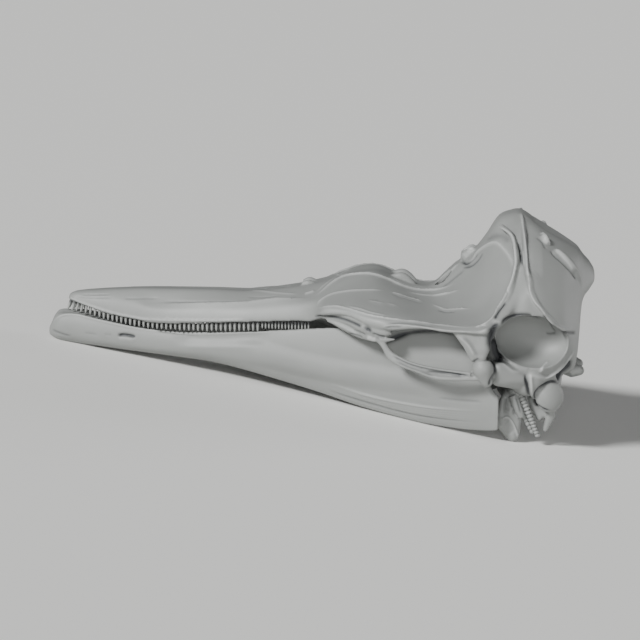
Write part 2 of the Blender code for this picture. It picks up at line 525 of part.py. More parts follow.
def ear_bone():
    """The left bulla with its root in the cranium, and the ridged rods behind it."""
    piece = add_object("ear_bone_left")
    forms = [plate("bulla", BULLA, LEFT), ellipsoid("root", EAR_ROOT, LEFT), bar("periotic", PERIOTIC, LEFT)]
    fuse(piece, forms, EAR_VOXEL, EAR_SMOOTH)
    thin_out(piece, BULLA_TRIANGLES)
    boolean(piece, [ridged_bar("rod", RIDGED_ROD, ROD_RIDGES, LEFT)], "UNION")
    boolean(piece, [ridged_bar("small_rod", SMALL_ROD, SMALL_ROD_RIDGES, LEFT)], "UNION")
    return piece


def mirrored_copy(piece, name):
    """The same piece on the other side of the middle plane."""
    shape = bmesh.new()
    shape.from_mesh(piece.data)
    bmesh.ops.transform(shape, matrix=Matrix.Diagonal((1, -1, 1, 1)), verts=shape.verts)
    bmesh.ops.reverse_faces(shape, faces=shape.faces)
    mesh = bpy.data.meshes.new(name)
    shape.to_mesh(mesh)
    shape.free()
    return add_object(name, mesh)


def places_of(piece):
    """A piece's corner places in millimetres, as an array."""
    flat = np.empty(3 * len(piece.data.vertices))
    piece.data.vertices.foreach_get("co", flat)
    return flat.reshape(-1, 3) / MM


def resting_pitch(front, rear, gentlest=0.0, steepest=20.0, halvings=30):
    """The nose-down turn in degrees that puts the lowest places of two pieces at one height."""
    for _ in range(halvings):
        middle = (gentlest + steepest) / 2
        down = np.array([math.sin(math.radians(middle)), 0.0, math.cos(math.radians(middle))])
        if (places_of(front) @ down).min() > (places_of(rear) @ down).min():
            gentlest = middle
        else:
            steepest = middle
    return (gentlest + steepest) / 2


def settle(pieces, front, rear):
    """Pitches the skull on to its chin and ear bones, stands it over the origin and notes both."""
    pitch = resting_pitch(front, rear)
    turn = Matrix.Rotation(math.radians(-pitch), 4, "Y")
    for piece in pieces:
        piece.data.transform(turn)
    everything = np.concatenate([places_of(piece) for piece in pieces])
    lowest, highest = everything.min(axis=0), everything.max(axis=0)
    shift = Vector((-(lowest[0] + highest[0]) / 2, 0.0, -lowest[2] - REST_FLAT_DEPTH))
    for piece in pieces:
        piece.data.transform(Matrix.Translation(shift * MM))
    SKULL["rest_pitch_degrees"] = pitch
    SKULL["rest_shift_mm"] = list(shift)


def main():
    """Builds every piece, rests the skull on its flats and dresses it."""
    skull, jaw, ear = cranium(), lower_jaw(), ear_bone()
    resting = [jaw, mirrored_copy(jaw, "lower_jaw_right"), ear, mirrored_copy(ear, "ear_bone_right")]
    pieces = [skull] + resting
    settle(pieces, jaw, ear)
    for piece in resting:
        boolean(piece, [box("ground", *GROUND)], "DIFFERENCE")
    for piece in pieces:
        piece.data.materials.clear()
        piece.data.materials.append(cast_material(piece.name))
        piece.data.shade_smooth()


main()
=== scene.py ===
"""Porpoise skull with its lower jaw and ear bones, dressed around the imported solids.

Every form is built in the skull's own frame, in millimetres: X runs from the beak's tip back to
the occiput, Y is 0 in the middle plane and Z is up. The finished meshes are pitched nose down on
to the chin and the ear bones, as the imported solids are. Relief such as ridges, grooves and bone
strands is drawn along named lines, each given by pixels of the 640 x 640 photograph and laid on
the surface that the photograph's camera sees there, on both sides of the skull.
"""

import logging
import math
from collections.abc import Callable, Iterable, Iterator, Sequence
from contextlib import contextmanager
from dataclasses import dataclass
from enum import Enum

import bmesh
import bpy
import numpy as np
from mathutils import Matrix, Vector
from mathutils.bvhtree import BVHTree


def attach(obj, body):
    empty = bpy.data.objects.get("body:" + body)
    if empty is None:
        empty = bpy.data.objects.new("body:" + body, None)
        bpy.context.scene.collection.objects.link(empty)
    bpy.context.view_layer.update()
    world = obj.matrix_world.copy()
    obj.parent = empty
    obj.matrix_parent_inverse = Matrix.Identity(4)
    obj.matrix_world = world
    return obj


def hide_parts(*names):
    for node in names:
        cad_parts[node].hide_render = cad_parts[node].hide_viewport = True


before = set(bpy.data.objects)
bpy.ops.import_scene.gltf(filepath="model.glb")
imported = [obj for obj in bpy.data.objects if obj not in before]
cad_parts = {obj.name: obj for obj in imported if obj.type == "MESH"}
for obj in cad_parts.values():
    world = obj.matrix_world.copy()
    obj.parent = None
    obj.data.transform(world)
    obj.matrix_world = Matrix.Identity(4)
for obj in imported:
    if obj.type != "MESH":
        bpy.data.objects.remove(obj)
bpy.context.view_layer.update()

LOG = logging.getLogger("porpoise_skull")

# A ball holds its centre, radii, and turns about Y and Z in degrees, a bead its centre and radius,
# and a station its X with the half widths and the heights of places round it
Place = tuple[float, float, float]
Pixel = tuple[float, float]
Ball = tuple[Place, Place, float, float]
Bead = tuple[Place, float]
Station = tuple[float, tuple[float, ...], tuple[float, ...]]

MM = 0.001
BODY = "root"
# The mesh layer of relief heights in millimetres, which the material paints as shade where they sink and
# highlight where they rise
RELIEF_LAYER = "relief_mm"

# How finely the plain forms are drawn
BALL_SEGMENTS, BALL_RINGS = 64, 40
BEAD_SUBDIVISIONS = 3
BAR_RINGS_A_BEAD, BAR_AROUND = 8, 16
OVAL_STEPS = 8

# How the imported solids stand: the nose-down turn, and the shift that goes with it
REST_PITCH_DEGREES = 9.07569
REST_SHIFT = (1.3921, 0.0, 39.6251)

# The gap between the lower jaws and the one round an ear bone's root
PIECE_GAP = 0.4
SOCKET_GAP = 0.65

# The beak and the roof of the face: X, then the half widths and the heights of nine places
# from the top's middle, round the left rim, to the palate's middle
FACE_STATIONS = (
    (-153.6, (0, 1.4, 2.5, 3.2, 3.5, 3, 2.4, 1.2, 0), (12.6, 12.4, 11.8, 11, 10.3, 9.6, 9.3, 9.3, 9.4)),
    (-150, (0, 2.6, 4.6, 5.6, 6, 5.2, 3.8, 2, 0), (14.5, 14.4, 13.2, 11.5, 9.3, 8.3, 8.8, 9, 9.1)),
    (-142, (0, 3.5, 6, 7.6, 8.4, 7.4, 5.6, 3, 0), (15.7, 15.5, 13.8, 11.1, 7, 6.1, 7.6, 7.7, 7.9)),
    (-127, (0, 5, 8.6, 11, 12.2, 10.8, 8.4, 4.5, 0), (16.9, 16.6, 13.8, 9.7, 3, 2.1, 4.8, 5.5, 5.7)),
    (-111, (0, 6, 11, 13.8, 15.2, 13.6, 10.8, 6, 0), (17.7, 17.4, 12.6, 8.2, 0.8, 0, 3.2, 4, 4.3)),
    (-96, (0, 7, 13, 16.2, 18, 16.2, 13, 7, 0), (18, 17.6, 10.3, 6.7, -0.8, -1.5, 2.1, 3.2, 3.6)),
    (-64, (0, 8, 17.5, 21.6, 24, 22, 18.4, 9, 0), (18, 18, 11.9, 8.2, 1.4, 0.7, 4, 4.9, 5.4)),
    (-40, (0, 9, 21.5, 25.8, 28, 26, 22.5, 11, 0), (18, 18, 12.8, 9.6, 3.1, 2.4, 4.8, 5.4, 6)),
    (-15, (0, 11, 26.5, 31.6, 34, 32, 28, 14, 0), (21.5, 21.4, 16.6, 12.9, 5.4, 4.5, 5.5, 4.2, 5)),
    (-3, (0, 13, 31, 36.6, 39, 37, 32, 16, 0), (24, 24, 18.5, 15, 6.4, 5.4, 5.9, 3.7, 4.4)),
    (4.5, (0, 13, 25, 40, 50, 49.5, 36, 18, 0), (26.3, 26.2, 23.8, 18.6, 15.2, 11, 6.7, 3, 3)),
    (20, (0, 11, 20.5, 42, 59, 59, 38, 20, 0), (31, 31.6, 30.9, 23.4, 17, 12.6, 6.9, 0.9, 0)),
    (32, (0, 11, 21, 46, 67, 67, 40, 22, 0), (32.6, 33, 31.7, 22.8, 15, 7.4, 5.8, -1.2, -3)),
    (44, (0, 10, 20, 48, 72, 72, 42, 22, 0), (28.6, 28.9, 27.5, 21, 13.6, 6.8, 7.4, -4.2, -6)),
    (56, (0, 10, 18, 50, 75.5, 75.5, 44, 23, 0), (24.6, 25, 23.4, 18.2, 12.7, 8.6, 8.6, -5.2, -8)),
    (66, (0, 10, 18, 52, 78, 78, 47, 24, 0), (25, 24.6, 22.8, 16.8, 11.8, 9.4, 8.9, -7.3, -9)),
    (73, (0, 10, 20, 54, 79.5, 79.5, 49, 25, 0), (32, 30.4, 25.4, 16.5, 11.1, 8.3, 8.8, -8.3, -10)),
    (80, (0, 11, 24, 55, 80.5, 80.5, 50, 25, 0), (38.5, 36, 28.2, 16.8, 10.9, 8.1, 8.7, -8.3, -10)),
    (90, (0, 13, 31, 57, 81.5, 81.5, 52, 26, 0), (46.5, 43.5, 32, 18.9, 11.4, 7.8, 8.2, -9.4, -11)),
    (97, (0, 15, 35, 58, 82, 82, 54, 26, 0), (55.5, 52.3, 38, 21.9, 12, 7.6, 7.1, -10.4, -12)),
    (104, (0, 17, 36, 57, 81, 81, 54, 26, 0), (66.5, 63, 46, 28.9, 15.4, 10, 6.1, -11.4, -12)),
    (111, (0, 17, 36, 56, 75, 75, 53, 26, 0), (69.4, 67, 54, 34.5, 21, 14.6, 5.1, -12.4, -13)),
    (117, (0, 16, 38, 56, 68, 66, 50, 25, 0), (70, 68.5, 58.9, 40.5, 26.3, 18.4, 3.3, -13.3, -14)),
    (124, (0, 18, 40, 56, 60, 58, 46, 24, 0), (64.5, 64.5, 54.8, 39, 24.8, 14.9, 1.5, -13.3, -14)),
)

# The braincase: X, then the half widths and the heights of nine places from the top's middle
# round the left side to the base
BRAINCASE_STATIONS = (
    (94, (0, 18, 34, 46, 50, 48, 38, 19, 0), (34, 32, 25, 15, 4, -8, -18, -22, -21)),
    (104, (0, 20, 40, 55, 61, 59, 46, 22, 0), (50, 46.9, 35.8, 21.2, 5, -10.8, -22.3, -27.2, -26)),
    (112, (0, 20, 42, 58, 70, 68, 52, 26, 0), (60, 58.9, 45.7, 30.9, 19.2, -5.7, -20.8, -29.4, -28)),
    (118, (0, 20, 44, 59, 72, 71, 56, 28, 0), (66, 64.9, 52.6, 37.8, 21.1, -3.8, -21, -30.5, -29)),
    (124, (0, 22, 46, 61, 71, 71, 60, 30, 0), (63.5, 64, 55, 40.7, 21.7, -3.8, -21.2, -31.6, -30)),
    (133, (0, 22, 41, 56.5, 67.5, 69, 61, 34, 0), (57.6, 58.8, 52, 37.8, 19.7, -3.7, -19, -29.5, -28)),
    (143, (0, 20, 35, 49, 59.5, 60, 54, 32, 0), (52.5, 53, 47, 33.1, 13.5, -5, -17.5, -22, -21)),
    (151, (0, 17, 29, 38, 46, 47, 40, 24, 0), (48.5, 47.5, 39, 24, 6, -6, -14, -16.5, -16)),
    (154, (0, 13, 22, 27, 27, 22, 16, 8, 0), (45, 43.5, 36.5, 27, 21, 18.5, 18, 18, 18)),
    (158, (0, 9, 15, 18, 18, 15, 10, 5, 0), (41, 39.5, 35, 29.5, 26.5, 25, 24.5, 24.5, 24.5)),
    (161.5, (0, 5, 9, 10, 10, 9, 6, 3, 0), (35.5, 34.8, 32.5, 31, 30.2, 29.6, 29.3, 29.3, 29.3)),
)

# The skull's base from the palate back to the condyles: X, half width, top, bottom
BASE_STATIONS = (
    (-10, 18, 12, 4), (10, 24, 12, -4), (30, 25, 14, -12), (55, 22, 14, -22), (75, 18, 14, -28),
    (95, 22, 14, -25), (118, 32, 14, -29), (134, 32, 14, -30), (141, 22, 4, -25),
)

# Round forms of the cranium: centre, radii, and turns about Y and Z in degrees
SQUAMOSAL = (((116, 61, -18), (10, 9, 8.5), 0, 0), ((123, 59, -20.6), (11, 9, 10.5), 0, 0))
EXOCCIPITAL = (((131.5, 50, -21.5), (11.5, 12, 12.5), 0, 0),)
PAROCCIPITAL = (((136, 57.5, -31.2), (8.6, 4.8, 9.2), -6, 24),)
OCCIPITAL_BUMP = (((130.5, 34, 54.3), (3.6, 4.5, 4.6), 0, 0),)

# Hollows cut out of the cranium, given in the same way. A bluntness of 2 is round, and more gives
# the fossa behind the orbit its steep walls and flat floor
FORAMEN_MAGNUM = ((158, 0, -11), (17, 9, 9), 0, 0)
BONY_NOSTRILS = (((72.5, 9, 22), (5.5, 4.8, 13), 16, 0),)
TEMPORAL_FOSSA = ((129.8, 92, 1.4), (24, 42, 15.4), 8, 10)
FOSSA_BLUNT = 6.0

# Plates and knobs drawn tight over balls: each ball's centre and radius
POSTORBITAL_TOP = (((81.9, 79.6, 9), 2.0), ((103.2, 79, 11.6), 2.6), ((100.1, 80, 1.4), 2.2),
                   ((87.4, 80.4, 0.9), 1.4))
POSTORBITAL_TIP = (((87.4, 80.4, 0.9), 1.4), ((99.8, 80.2, 1), 2.2), ((91.8, 79.8, -7.5), 1.2),
                   ((97.2, 80.3, -5.6), 2.2))
ZYGOMATIC_KNOB = (((97.6, 77.5, -12.6), 6.1), ((100, 77, -19.6), 3.6))
SQUAMOSAL_BODY = (((105.8, 71, -13.2), 4.4), ((119.3, 66.5, -19.3), 3.8), ((106.4, 71, -19.8), 3.8),
                  ((117.5, 65, -22.6), 3.6), ((124, 60, -22), 5.0), ((103.5, 64, -13.4), 5.2))
CONDYLE = (((143, 15, -20.5), 4.2), ((149.4, 12.4, -25.2), 2.6), ((154, 12, -23.6), 3.0))
NASAL_KNOB = (((84.3, 5.5, 42.6), 2.2), ((84.3, 5.5, 39.8), 2.2), ((89, 5.5, 45.2), 2.0),
              ((93, 6.5, 45), 2.0), ((89, 8, 39), 3.0))
BASE_SPUR = (((137.4, 54, -38), 2.3), ((137.6, 52.6, -43.4), 2.3), ((134.2, 52, -51.6), 1.5))
BASE_SHEET = (((124.6, 51.4, -30), 2.0), ((134, 52.4, -34), 2.5), ((134.6, 52, -41), 1.8),
              ((130.4, 51.6, -45.4), 1.3), ((126.2, 51.2, -38.5), 1.4))
PLATES = (POSTORBITAL_TOP, POSTORBITAL_TIP, ZYGOMATIC_KNOB, SQUAMOSAL_BODY, CONDYLE, NASAL_KNOB,
          BASE_SPUR, BASE_SHEET)

# Tapering bars of the cranium: the places along each, with the radius there
JUGAL_UPPER = (((37.6, 68.4, 2), 1.5), ((41, 69.5, -1.6), 1.5), ((45.7, 71, -7), 1.6),
               ((53.3, 74, -10.4), 1.6), ((62, 76, -12.6), 1.5), ((73.4, 77.3, -14.3), 1.5),
               ((91, 78.6, -15.8), 1.5))
JUGAL_MIDDLE = (((41.5, 70, -2.6), 1.3), ((46, 71, -9), 1.5), ((53.5, 73.4, -12.6), 1.5),
                ((62, 75.2, -15), 1.3), ((72, 76.2, -16.6), 1.2), ((91, 78, -17.4), 1.3))
JUGAL_LOWER = (((37, 68.4, 1.4), 1.4), ((40.8, 70, -2.4), 1.4), ((44.6, 71.2, -8.6), 1.5),
               ((50.8, 73.4, -12), 1.5), ((59.2, 75.6, -14.4), 1.4), ((69, 77, -17.8), 1.4),
               ((76.4, 78, -18.7), 1.4), ((95, 78.6, -18.2), 1.4))
LACRIMAL_UPPER = (((4, 44, 10.8), 2.2), ((18, 55, 10.2), 2.8), ((30, 65, 6.8), 3.2),
                  ((40.6, 69.8, 5.6), 2.5), ((45.4, 70.6, 4.8), 0.7))
LACRIMAL_LOWER = (((8, 46, 8.5), 1.6), ((20, 56, 5), 2.6), ((30, 64, 2.6), 2.6), ((37, 68, 2.2), 2.2),
                  ((41, 69.6, 1.2), 1.6), ((47.4, 70.4, 1.8), 0.5))
TEMPORAL_RIDGE = (((98, 80, 12.4), 1.7), ((105, 75.5, 18.4), 1.6), ((111, 67, 27), 1.6),
                  ((113.6, 59, 36.8), 1.6), ((115.2, 52, 45.8), 1.7), ((114.2, 46, 52.6), 1.7),
                  ((111.5, 36, 59.2), 1.6), ((106, 24, 62.8), 1.2))
LAMBDOID_CREST = (((116.6, 14, 68.2), 1.4), ((118.3, 28, 63.4), 1.6), ((119.5, 42, 57), 1.7),
                  ((121, 59.4, 42.4), 1.8), ((122.6, 63.4, 36.6), 1.8), ((124, 67, 30), 1.7),
                  ((129.4, 69.4, 21.4), 1.5), ((140.6, 62.4, 9.9), 1.4), ((150.3, 45, 5.3), 1.0))
MEDIAN_BUMP = (((40, 8, 27.8), 1.8), ((46.6, 8, 29.4), 2.5), ((50.5, 8, 28.2), 2.3),
               ((55, 8, 24.6), 1.6))
SMALL_BUMP = (((-12, 6, 23), 1.2), ((-8.2, 6, 24), 1.8), ((-4.8, 6, 23.6), 1.2))
SQUAMOSAL_CREST = (((122.6, 66, -15.6), 1.3), ((126, 64.5, -24), 1.4), ((127.5, 61.5, -32), 1.2))
OCCIPITAL_LUMP = (((136.5, 36, 49.4), 2.8), ((143, 35, 44.6), 3.2), ((149.2, 31.5, 36.4), 3.0),
                  ((151.8, 29, 29.4), 1.8))
BARS = (JUGAL_UPPER, JUGAL_MIDDLE, JUGAL_LOWER, LACRIMAL_UPPER, LACRIMAL_LOWER, TEMPORAL_RIDGE,
        LAMBDOID_CREST, MEDIAN_BUMP, SMALL_BUMP, SQUAMOSAL_CREST, OCCIPITAL_LUMP)

# The left lower jaw: X, then the half widths and the heights of eight places round it, from
# the outer rim down the outer side, under the lower edge and up the inner side
JAW_STATIONS = (
    (-165, (3, 3.8, 3.4, 1.6, -1, -1, -1, 1.2), (-7.6, -9.4, -11.2, -12.3, -12.1, -10.1, -7.4, -7.2)),
    (-161.5, (6.8, 8, 7, 3.6, -1, -1, -1, 3.2), (-2.4, -7.2, -11.6, -13.8, -13.7, -8.2, 0.2, -0.4)),
    (-157, (9, 10.8, 9.6, 5, -1, -1, -1, 4.4), (0.9, -5.4, -11.6, -15, -14.9, -7.1, 3, 2.2)),
    (-147, (10, 12.4, 11.4, 6, -1, -1, -1, 5), (1.5, -4.7, -11.6, -16.3, -15.9, -7.1, 2, 1.1)),
    (-135, (12, 14.6, 13.4, 7.4, -1, -1, -1, 6), (-0.2, -6.8, -13.7, -17.4, -16.7, -8.1, -1.2, -2.7)),
    (-118, (14.8, 17, 15.8, 10, 2.4, 1.2, 3.2, 9.2), (-2.8, -8.9, -15.3, -18.9, -17.7, -10.1, -4.8, -5.9)),
    (-106, (17, 19, 17.8, 12, 7, 5.4, 8, 12.5), (-4.8, -10.4, -16.4, -19.8, -18.4, -11.3, -6, -7.7)),
    (-81, (22, 24, 22.8, 17, 13, 12, 13.5, 17.8), (-6.3, -11.9, -17.6, -21.5, -19.9, -12.6, -7.1, -9)),
    (-57, (27, 29, 28, 22.5, 19, 18, 19, 23), (-4.1, -11, -18.5, -23.8, -21.2, -12, -5, -6.4)),
    (-20, (35, 37.6, 36.5, 31, 28, 27.6, 28.5, 32), (-0.5, -10, -22, -31.4, -28, -12.5, -2.5, -2.7)),
    (1.5, (40, 43, 42, 36, 33, 33.5, 34.5, 37.4), (1.5, -10.3, -24.3, -36.4, -32, -12.8, 0.1, 0.6)),
    (27, (47, 50, 49, 43, 40, 41, 43, 45), (3.1, -10.7, -28.6, -42.9, -37, -12.2, 2.1, 3.6)),
    (52, (55, 57.5, 56, 50, 47, 48.5, 50.6, 52.8), (4.4, -11.1, -33, -47.7, -41.4, -12.6, 3.4, 5.2)),
    (66, (58.5, 61, 60, 54, 51, 53, 54.6, 56.6), (7, -11.3, -34.2, -49.6, -43.2, -13.9, 6.1, 7.9)),
    (82, (61.4, 64.4, 63.4, 57.8, 55.4, 57, 58.2, 59.8), (3, -11.5, -35.4, -51.1, -44, -15.1, 2.5, 4)),
    (95, (65.4, 67, 66.5, 62, 59.6, 61, 63, 64.4), (-9, -17, -37.6, -51.3, -44, -20.5, -10, -8.4)),
    (102.5, (67, 68.6, 68, 64.5, 62, 63, 64.6, 66), (-25.4, -30.5, -39.7, -50.8, -46, -32, -27, -25)),
    (107, (68.4, 69, 69, 66.5, 64, 64.6, 66, 67.4), (-31, -34.5, -41.7, -49.9, -46.2, -36.2, -32, -30.5)),
)

# The upper teeth: a long row of pegs along the rim, then a short row of small ones
TOOTH_ROOTS = ((-152, 2.8, 8.7), (-142, 6.6, 7.5), (-127, 9.8, 3.8), (-111, 12.6, 1.2), (-96, 15.2, 0.2),
               (-64, 20.8, 0.8), (-40, 24.8, 2.1), (-15, 30.4, 2.7), (-3, 33.4, 3.3))
TOOTH_COUNT, TOOTH_PITCH = 43, 2.84
TOOTH_LENGTH, TOOTH_RADIUS = 5.6, 0.85
SMALL_TOOTH_COUNT, SMALL_TOOTH_PITCH = 15, 2.05
SMALL_TOOTH_LENGTH, SMALL_TOOTH_RADIUS = 3.6, 0.55
TOOTH_BURIED = 3.8

# A peg from the gum line down: share of its length, share of its radius, and relief for its painted shade,
# dark at the gum line for the lip's shadow
PEG_PROFILE = ((0.0, 1.0, -1.2), (0.35, 1.02, -0.2), (0.7, 0.86, 0.0), (0.88, 0.66, 0.0),
               (0.97, 0.4, 0.0), (1.0, 0.14, 0.0))
PEG_ROOT_SHARE = 0.96

# The ear bones: the balls of the bulla, its root in the cranium's base, and what hangs behind
BULLA = (((111, 55.5, -34.2), 3.2), ((108.4, 56.5, -42), 3.8), ((110, 55.5, -47.8), 4.4),
         ((115.2, 54, -54.8), 4.3), ((117.4, 54.5, -47.2), 2.8), ((112, 50, -42), 5.5),
         ((114, 50, -48.5), 5.5), ((113.4, 50.5, -32), 4.4))
EAR_ROOT = ((117.5, 54, -28.5), (5.5, 5.5, 5.5), 0, 0)
PERIOTIC = (((115, 58, -31), 2.8), ((117.6, 58.6, -37.5), 2.6), ((120.4, 57.4, -43.4), 2.1))
LONG_ROD = (((119, 57.2, -30), 2.25), ((125, 57, -43), 1.9), ((130.1, 53.9, -55.6), 1.6))
SHORT_ROD = (((119.6, 56.6, -40), 1.6), ((127, 53.6, -53.7), 1.2))

# Both rods, each with its number of ridges, and how thick they are between ridges
RODS = ((LONG_ROD, 13), (SHORT_ROD, 6))
RIDGE_NECK_SHARE = 0.56


class Side(Enum):
    """The skull's two sides, by the sign of Y."""

    LEFT = -1.0
    RIGHT = 1.0


class Relief(Enum):
    """How a drawn line changes the surface across its width."""

    ROUND = "round"
    SHARP = "sharp"
    STEP = "step"
    WIDE = "wide"


@dataclass(frozen=True)
class PhotoCamera:
    """The photograph's camera, in the skull's own frame."""

    azimuth: float = math.radians(4.5)
    elevation: float = math.radians(9.0)
    roll: float = math.radians(0.8)
    distance: float = 1400.0
    focal_px: float = 2333.0
    image_px: float = 640.0
    sensor: float = 36.0
    target: Place = (-1.2, 0.0, 0.6)

    def axes(self) -> tuple[np.ndarray, np.ndarray, np.ndarray]:
        """The directions to the image's right, to its top and back to the camera.

        Returns:
            Three unit vectors in the skull's frame.
        """
        a, e, q = self.azimuth, self.elevation, self.roll
        back = np.array([math.sin(a) * math.cos(e), -math.cos(a) * math.cos(e), math.sin(e)])
        level = np.array([math.cos(a), math.sin(a), 0.0])
        top = np.cross(back, level)
        right = level * math.cos(q) + top * math.sin(q)
        up = top * math.cos(q) - level * math.sin(q)
        return right, up, back

    def place(self) -> np.ndarray:
        """Where the camera stands."""
        return np.array(self.target) + self.axes()[2] * self.distance

    def ray(self, pixel: Sequence[float]) -> Vector:
        """The direction in which the camera sees a pixel.

        Args:
            pixel: Across and down in the photograph.

        Returns:
            A unit vector away from the camera.
        """
        right, up, back = self.axes()
        across = (pixel[0] - self.image_px / 2) / self.focal_px
        down = (pixel[1] - self.image_px / 2) / self.focal_px
        return Vector(right * across - up * down - back).normalized()

    def matrix(self) -> Matrix:
        """The camera's place and directions as a matrix in the skull's frame."""
        right, up, back = self.axes()
        at = self.place()
        rows = [[right[k], up[k], back[k], at[k]] for k in range(3)]
        return Matrix([*rows, [0, 0, 0, 1]])

    def lens(self) -> float:
        """The focal length for the sensor's width."""
        return self.sensor * self.focal_px / self.image_px


@dataclass(frozen=True)
class RestingPose:
    """The turn and shift that stand the skull on its chin and ear bones, as the solids stand."""

    pitch: float = math.radians(REST_PITCH_DEGREES)
    shift: Place = REST_SHIFT

    def matrix(self) -> Matrix:
        """From the skull's frame to the resting one, both in millimetres."""
        return Matrix.Translation(Vector(self.shift)) @ Matrix.Rotation(-self.pitch, 4, "Y")

    def settle(self, mesh: bpy.types.Mesh) -> None:
        """Turns a mesh in the skull's frame into a resting one in metres."""
        mesh.transform(Matrix.Scale(MM, 4) @ self.matrix())
        mesh.update()


CAMERA = PhotoCamera()
REST = RestingPose()


def add_object(name: str, mesh: bpy.types.ID | None = None) -> bpy.types.Object:
    """Adds an object at the origin.

    Args:
        name: The object's name.
        mesh: What it holds, or nothing for an empty mesh.

    Returns:
        The new object.
    """
    made = bpy.data.objects.new(name, mesh or bpy.data.meshes.new(name))
    bpy.context.scene.collection.objects.link(made)
    return made


@contextmanager
def open_shape(mesh: bpy.types.Mesh) -> Iterator[bmesh.types.BMesh]:
    """Opens a mesh for editing, and stores its new shape when the block ends.

    Args:
        mesh: The mesh.

    Yields:
        Its corners and faces.
    """
    shape = bmesh.new()
    shape.from_mesh(mesh)
    yield shape
    shape.to_mesh(mesh)
    shape.free()


def mesh_from(name: str, points: Iterable[Sequence[float]], faces: Iterable) -> bpy.types.Mesh:
    """Makes a mesh with its faces turned outwards.

    Args:
        name: The mesh's name.
        points: Its corner places.
        faces: Rows of corner numbers.

    Returns:
        The mesh.
    """
    mesh = bpy.data.meshes.new(name)
    with open_shape(mesh) as shape:
        corners = [shape.verts.new(point) for point in points]
        for face in faces:
            shape.faces.new([corners[i] for i in face])
        bmesh.ops.recalc_face_normals(shape, faces=shape.faces)
    return mesh


def along_curve(rows: Sequence, steps: np.ndarray) -> np.ndarray:
    """Reads rows at fractional steps along a smooth curve through every row.

    Args:
        rows: The given rows of numbers.
        steps: Where to read, from 0 to the last row's number.

    Returns:
        One row for each step.
    """
    rows = np.array(rows, dtype=float)
    padded = np.concatenate([2 * rows[:1] - rows[1:2], rows, 2 * rows[-1:] - rows[-2:-1]])
    spans = np.minimum(steps.astype(int), len(rows) - 2)
    t = (steps - spans)[:, None]
    p0, p1, p2, p3 = (padded[spans + k] for k in range(4))
    cubic = 2 * p1 + (p2 - p0) * t + (2 * p0 - 5 * p1 + 4 * p2 - p3) * t**2
    return 0.5 * (cubic + (3 * p1 - p0 - 3 * p2 + p3) * t**3)


def smooth_rows(rows: Sequence, count: int) -> np.ndarray:
    """Spreads a number of rows evenly along the smooth curve through the given ones."""
    return along_curve(rows, np.linspace(0, len(rows) - 1, count))


def lofted_sections(xs: Sequence[float], sections: Sequence, count: int) -> list:
    """Reads sections at even distances along X, smoothly between the given ones.

    Args:
        xs: Where the given sections stand.
        sections: Their outlines, each an array of places across.
        count: How many to read.

    Returns:
        Pairs of X and outline.
    """
    xs = np.array(xs, dtype=float)
    table = np.concatenate([xs[:, None], np.array(sections).reshape(len(xs), -1)], axis=1)
    steps = np.interp(np.linspace(xs[0], xs[-1], count), xs, np.arange(len(xs)))
    return [(row[0], row[1:].reshape(-1, 2)) for row in along_curve(table, steps)]


def ring_loft(name: str, rings: Sequence) -> bpy.types.Mesh:
    """Makes a closed mesh through rings of places, with a face over each end.

    Args:
        name: The mesh's name.
        rings: Rows of places, the same number in each.

    Returns:
        The mesh.
    """
    rings = np.array(rings)
    count, around = rings.shape[:2]
    faces = []
    for i in range(count - 1):
        for j in range(around):
            k = (j + 1) % around
            faces.append((i * around + j, i * around + k, (i + 1) * around + k, (i + 1) * around + j))
    faces.append(tuple(range(around)))
    faces.append(tuple((count - 1) * around + j for j in reversed(range(around))))
    return mesh_from(name, rings.reshape(-1, 3), faces)


def mirrored_loft(name: str, stations: Sequence[Station], count: int, half_points: int) -> bpy.types.Mesh:
    """Makes a loft that is the same on both sides.

    Args:
        name: The mesh's name.
        stations: X, half widths and heights of each half outline.
        count: How many rings.
        half_points: How many places on each half ring.

    Returns:
        The mesh.
    """
    halves = [smooth_rows(list(zip(widths, heights)), half_points) for x, widths, heights in stations]
    rings = []
    for x, half in lofted_sections([station[0] for station in stations], halves, count):
        left = [(x, Side.LEFT.value * y, z) for y, z in half]
        right = [(x, Side.RIGHT.value * y, z) for y, z in half[-2:0:-1]]
        rings.append(left + right)
    return ring_loft(name, rings)


def closed_loft(
    name: str, stations: Sequence[Station], side: Side, count: int, points_between: int
) -> bpy.types.Mesh:
    """Makes a loft of one side's closed outlines.

    Args:
        name: The mesh's name.
        stations: X, distances from the middle plane and heights of each outline.
        side: Which side it is on.
        count: How many rings.
        points_between: How many places from one given place to the next.

    Returns:
        The mesh.
    """
    loops = []
    for x, widths, heights in stations:
        loop = list(zip(widths, heights))
        reach = loop[-2:] + loop + loop[:2]
        dense = smooth_rows(reach, (len(reach) - 1) * points_between + 1)
        loops.append(dense[2 * points_between : (2 + len(loop)) * points_between])
    rings = []
    for x, loop in lofted_sections([station[0] for station in stations], loops, count):
        rings.append([(x, side.value * y, z) for y, z in loop])
    return ring_loft(name, rings)


def base_loft(
    name: str, stations: Sequence[Sequence[float]], count: int, half_points: int
) -> bpy.types.Mesh:
    """Makes a loft of ovals along X.

    Args:
        name: The mesh's name.
        stations: X, half width, top and bottom of each oval.
        count: How many rings.
        half_points: How many places on each half ring.

    Returns:
        The mesh.
    """
    turns = [math.pi * k / OVAL_STEPS for k in range(OVAL_STEPS + 1)]
    rows = []
    for x, half_width, top, bottom in stations:
        middle, height = (top + bottom) / 2, (top - bottom) / 2
        widths = tuple(half_width * math.sin(a) for a in turns)
        heights = tuple(middle + height * math.cos(a) for a in turns)
        rows.append((x, widths, heights))
    return mirrored_loft(name, rows, count, half_points)


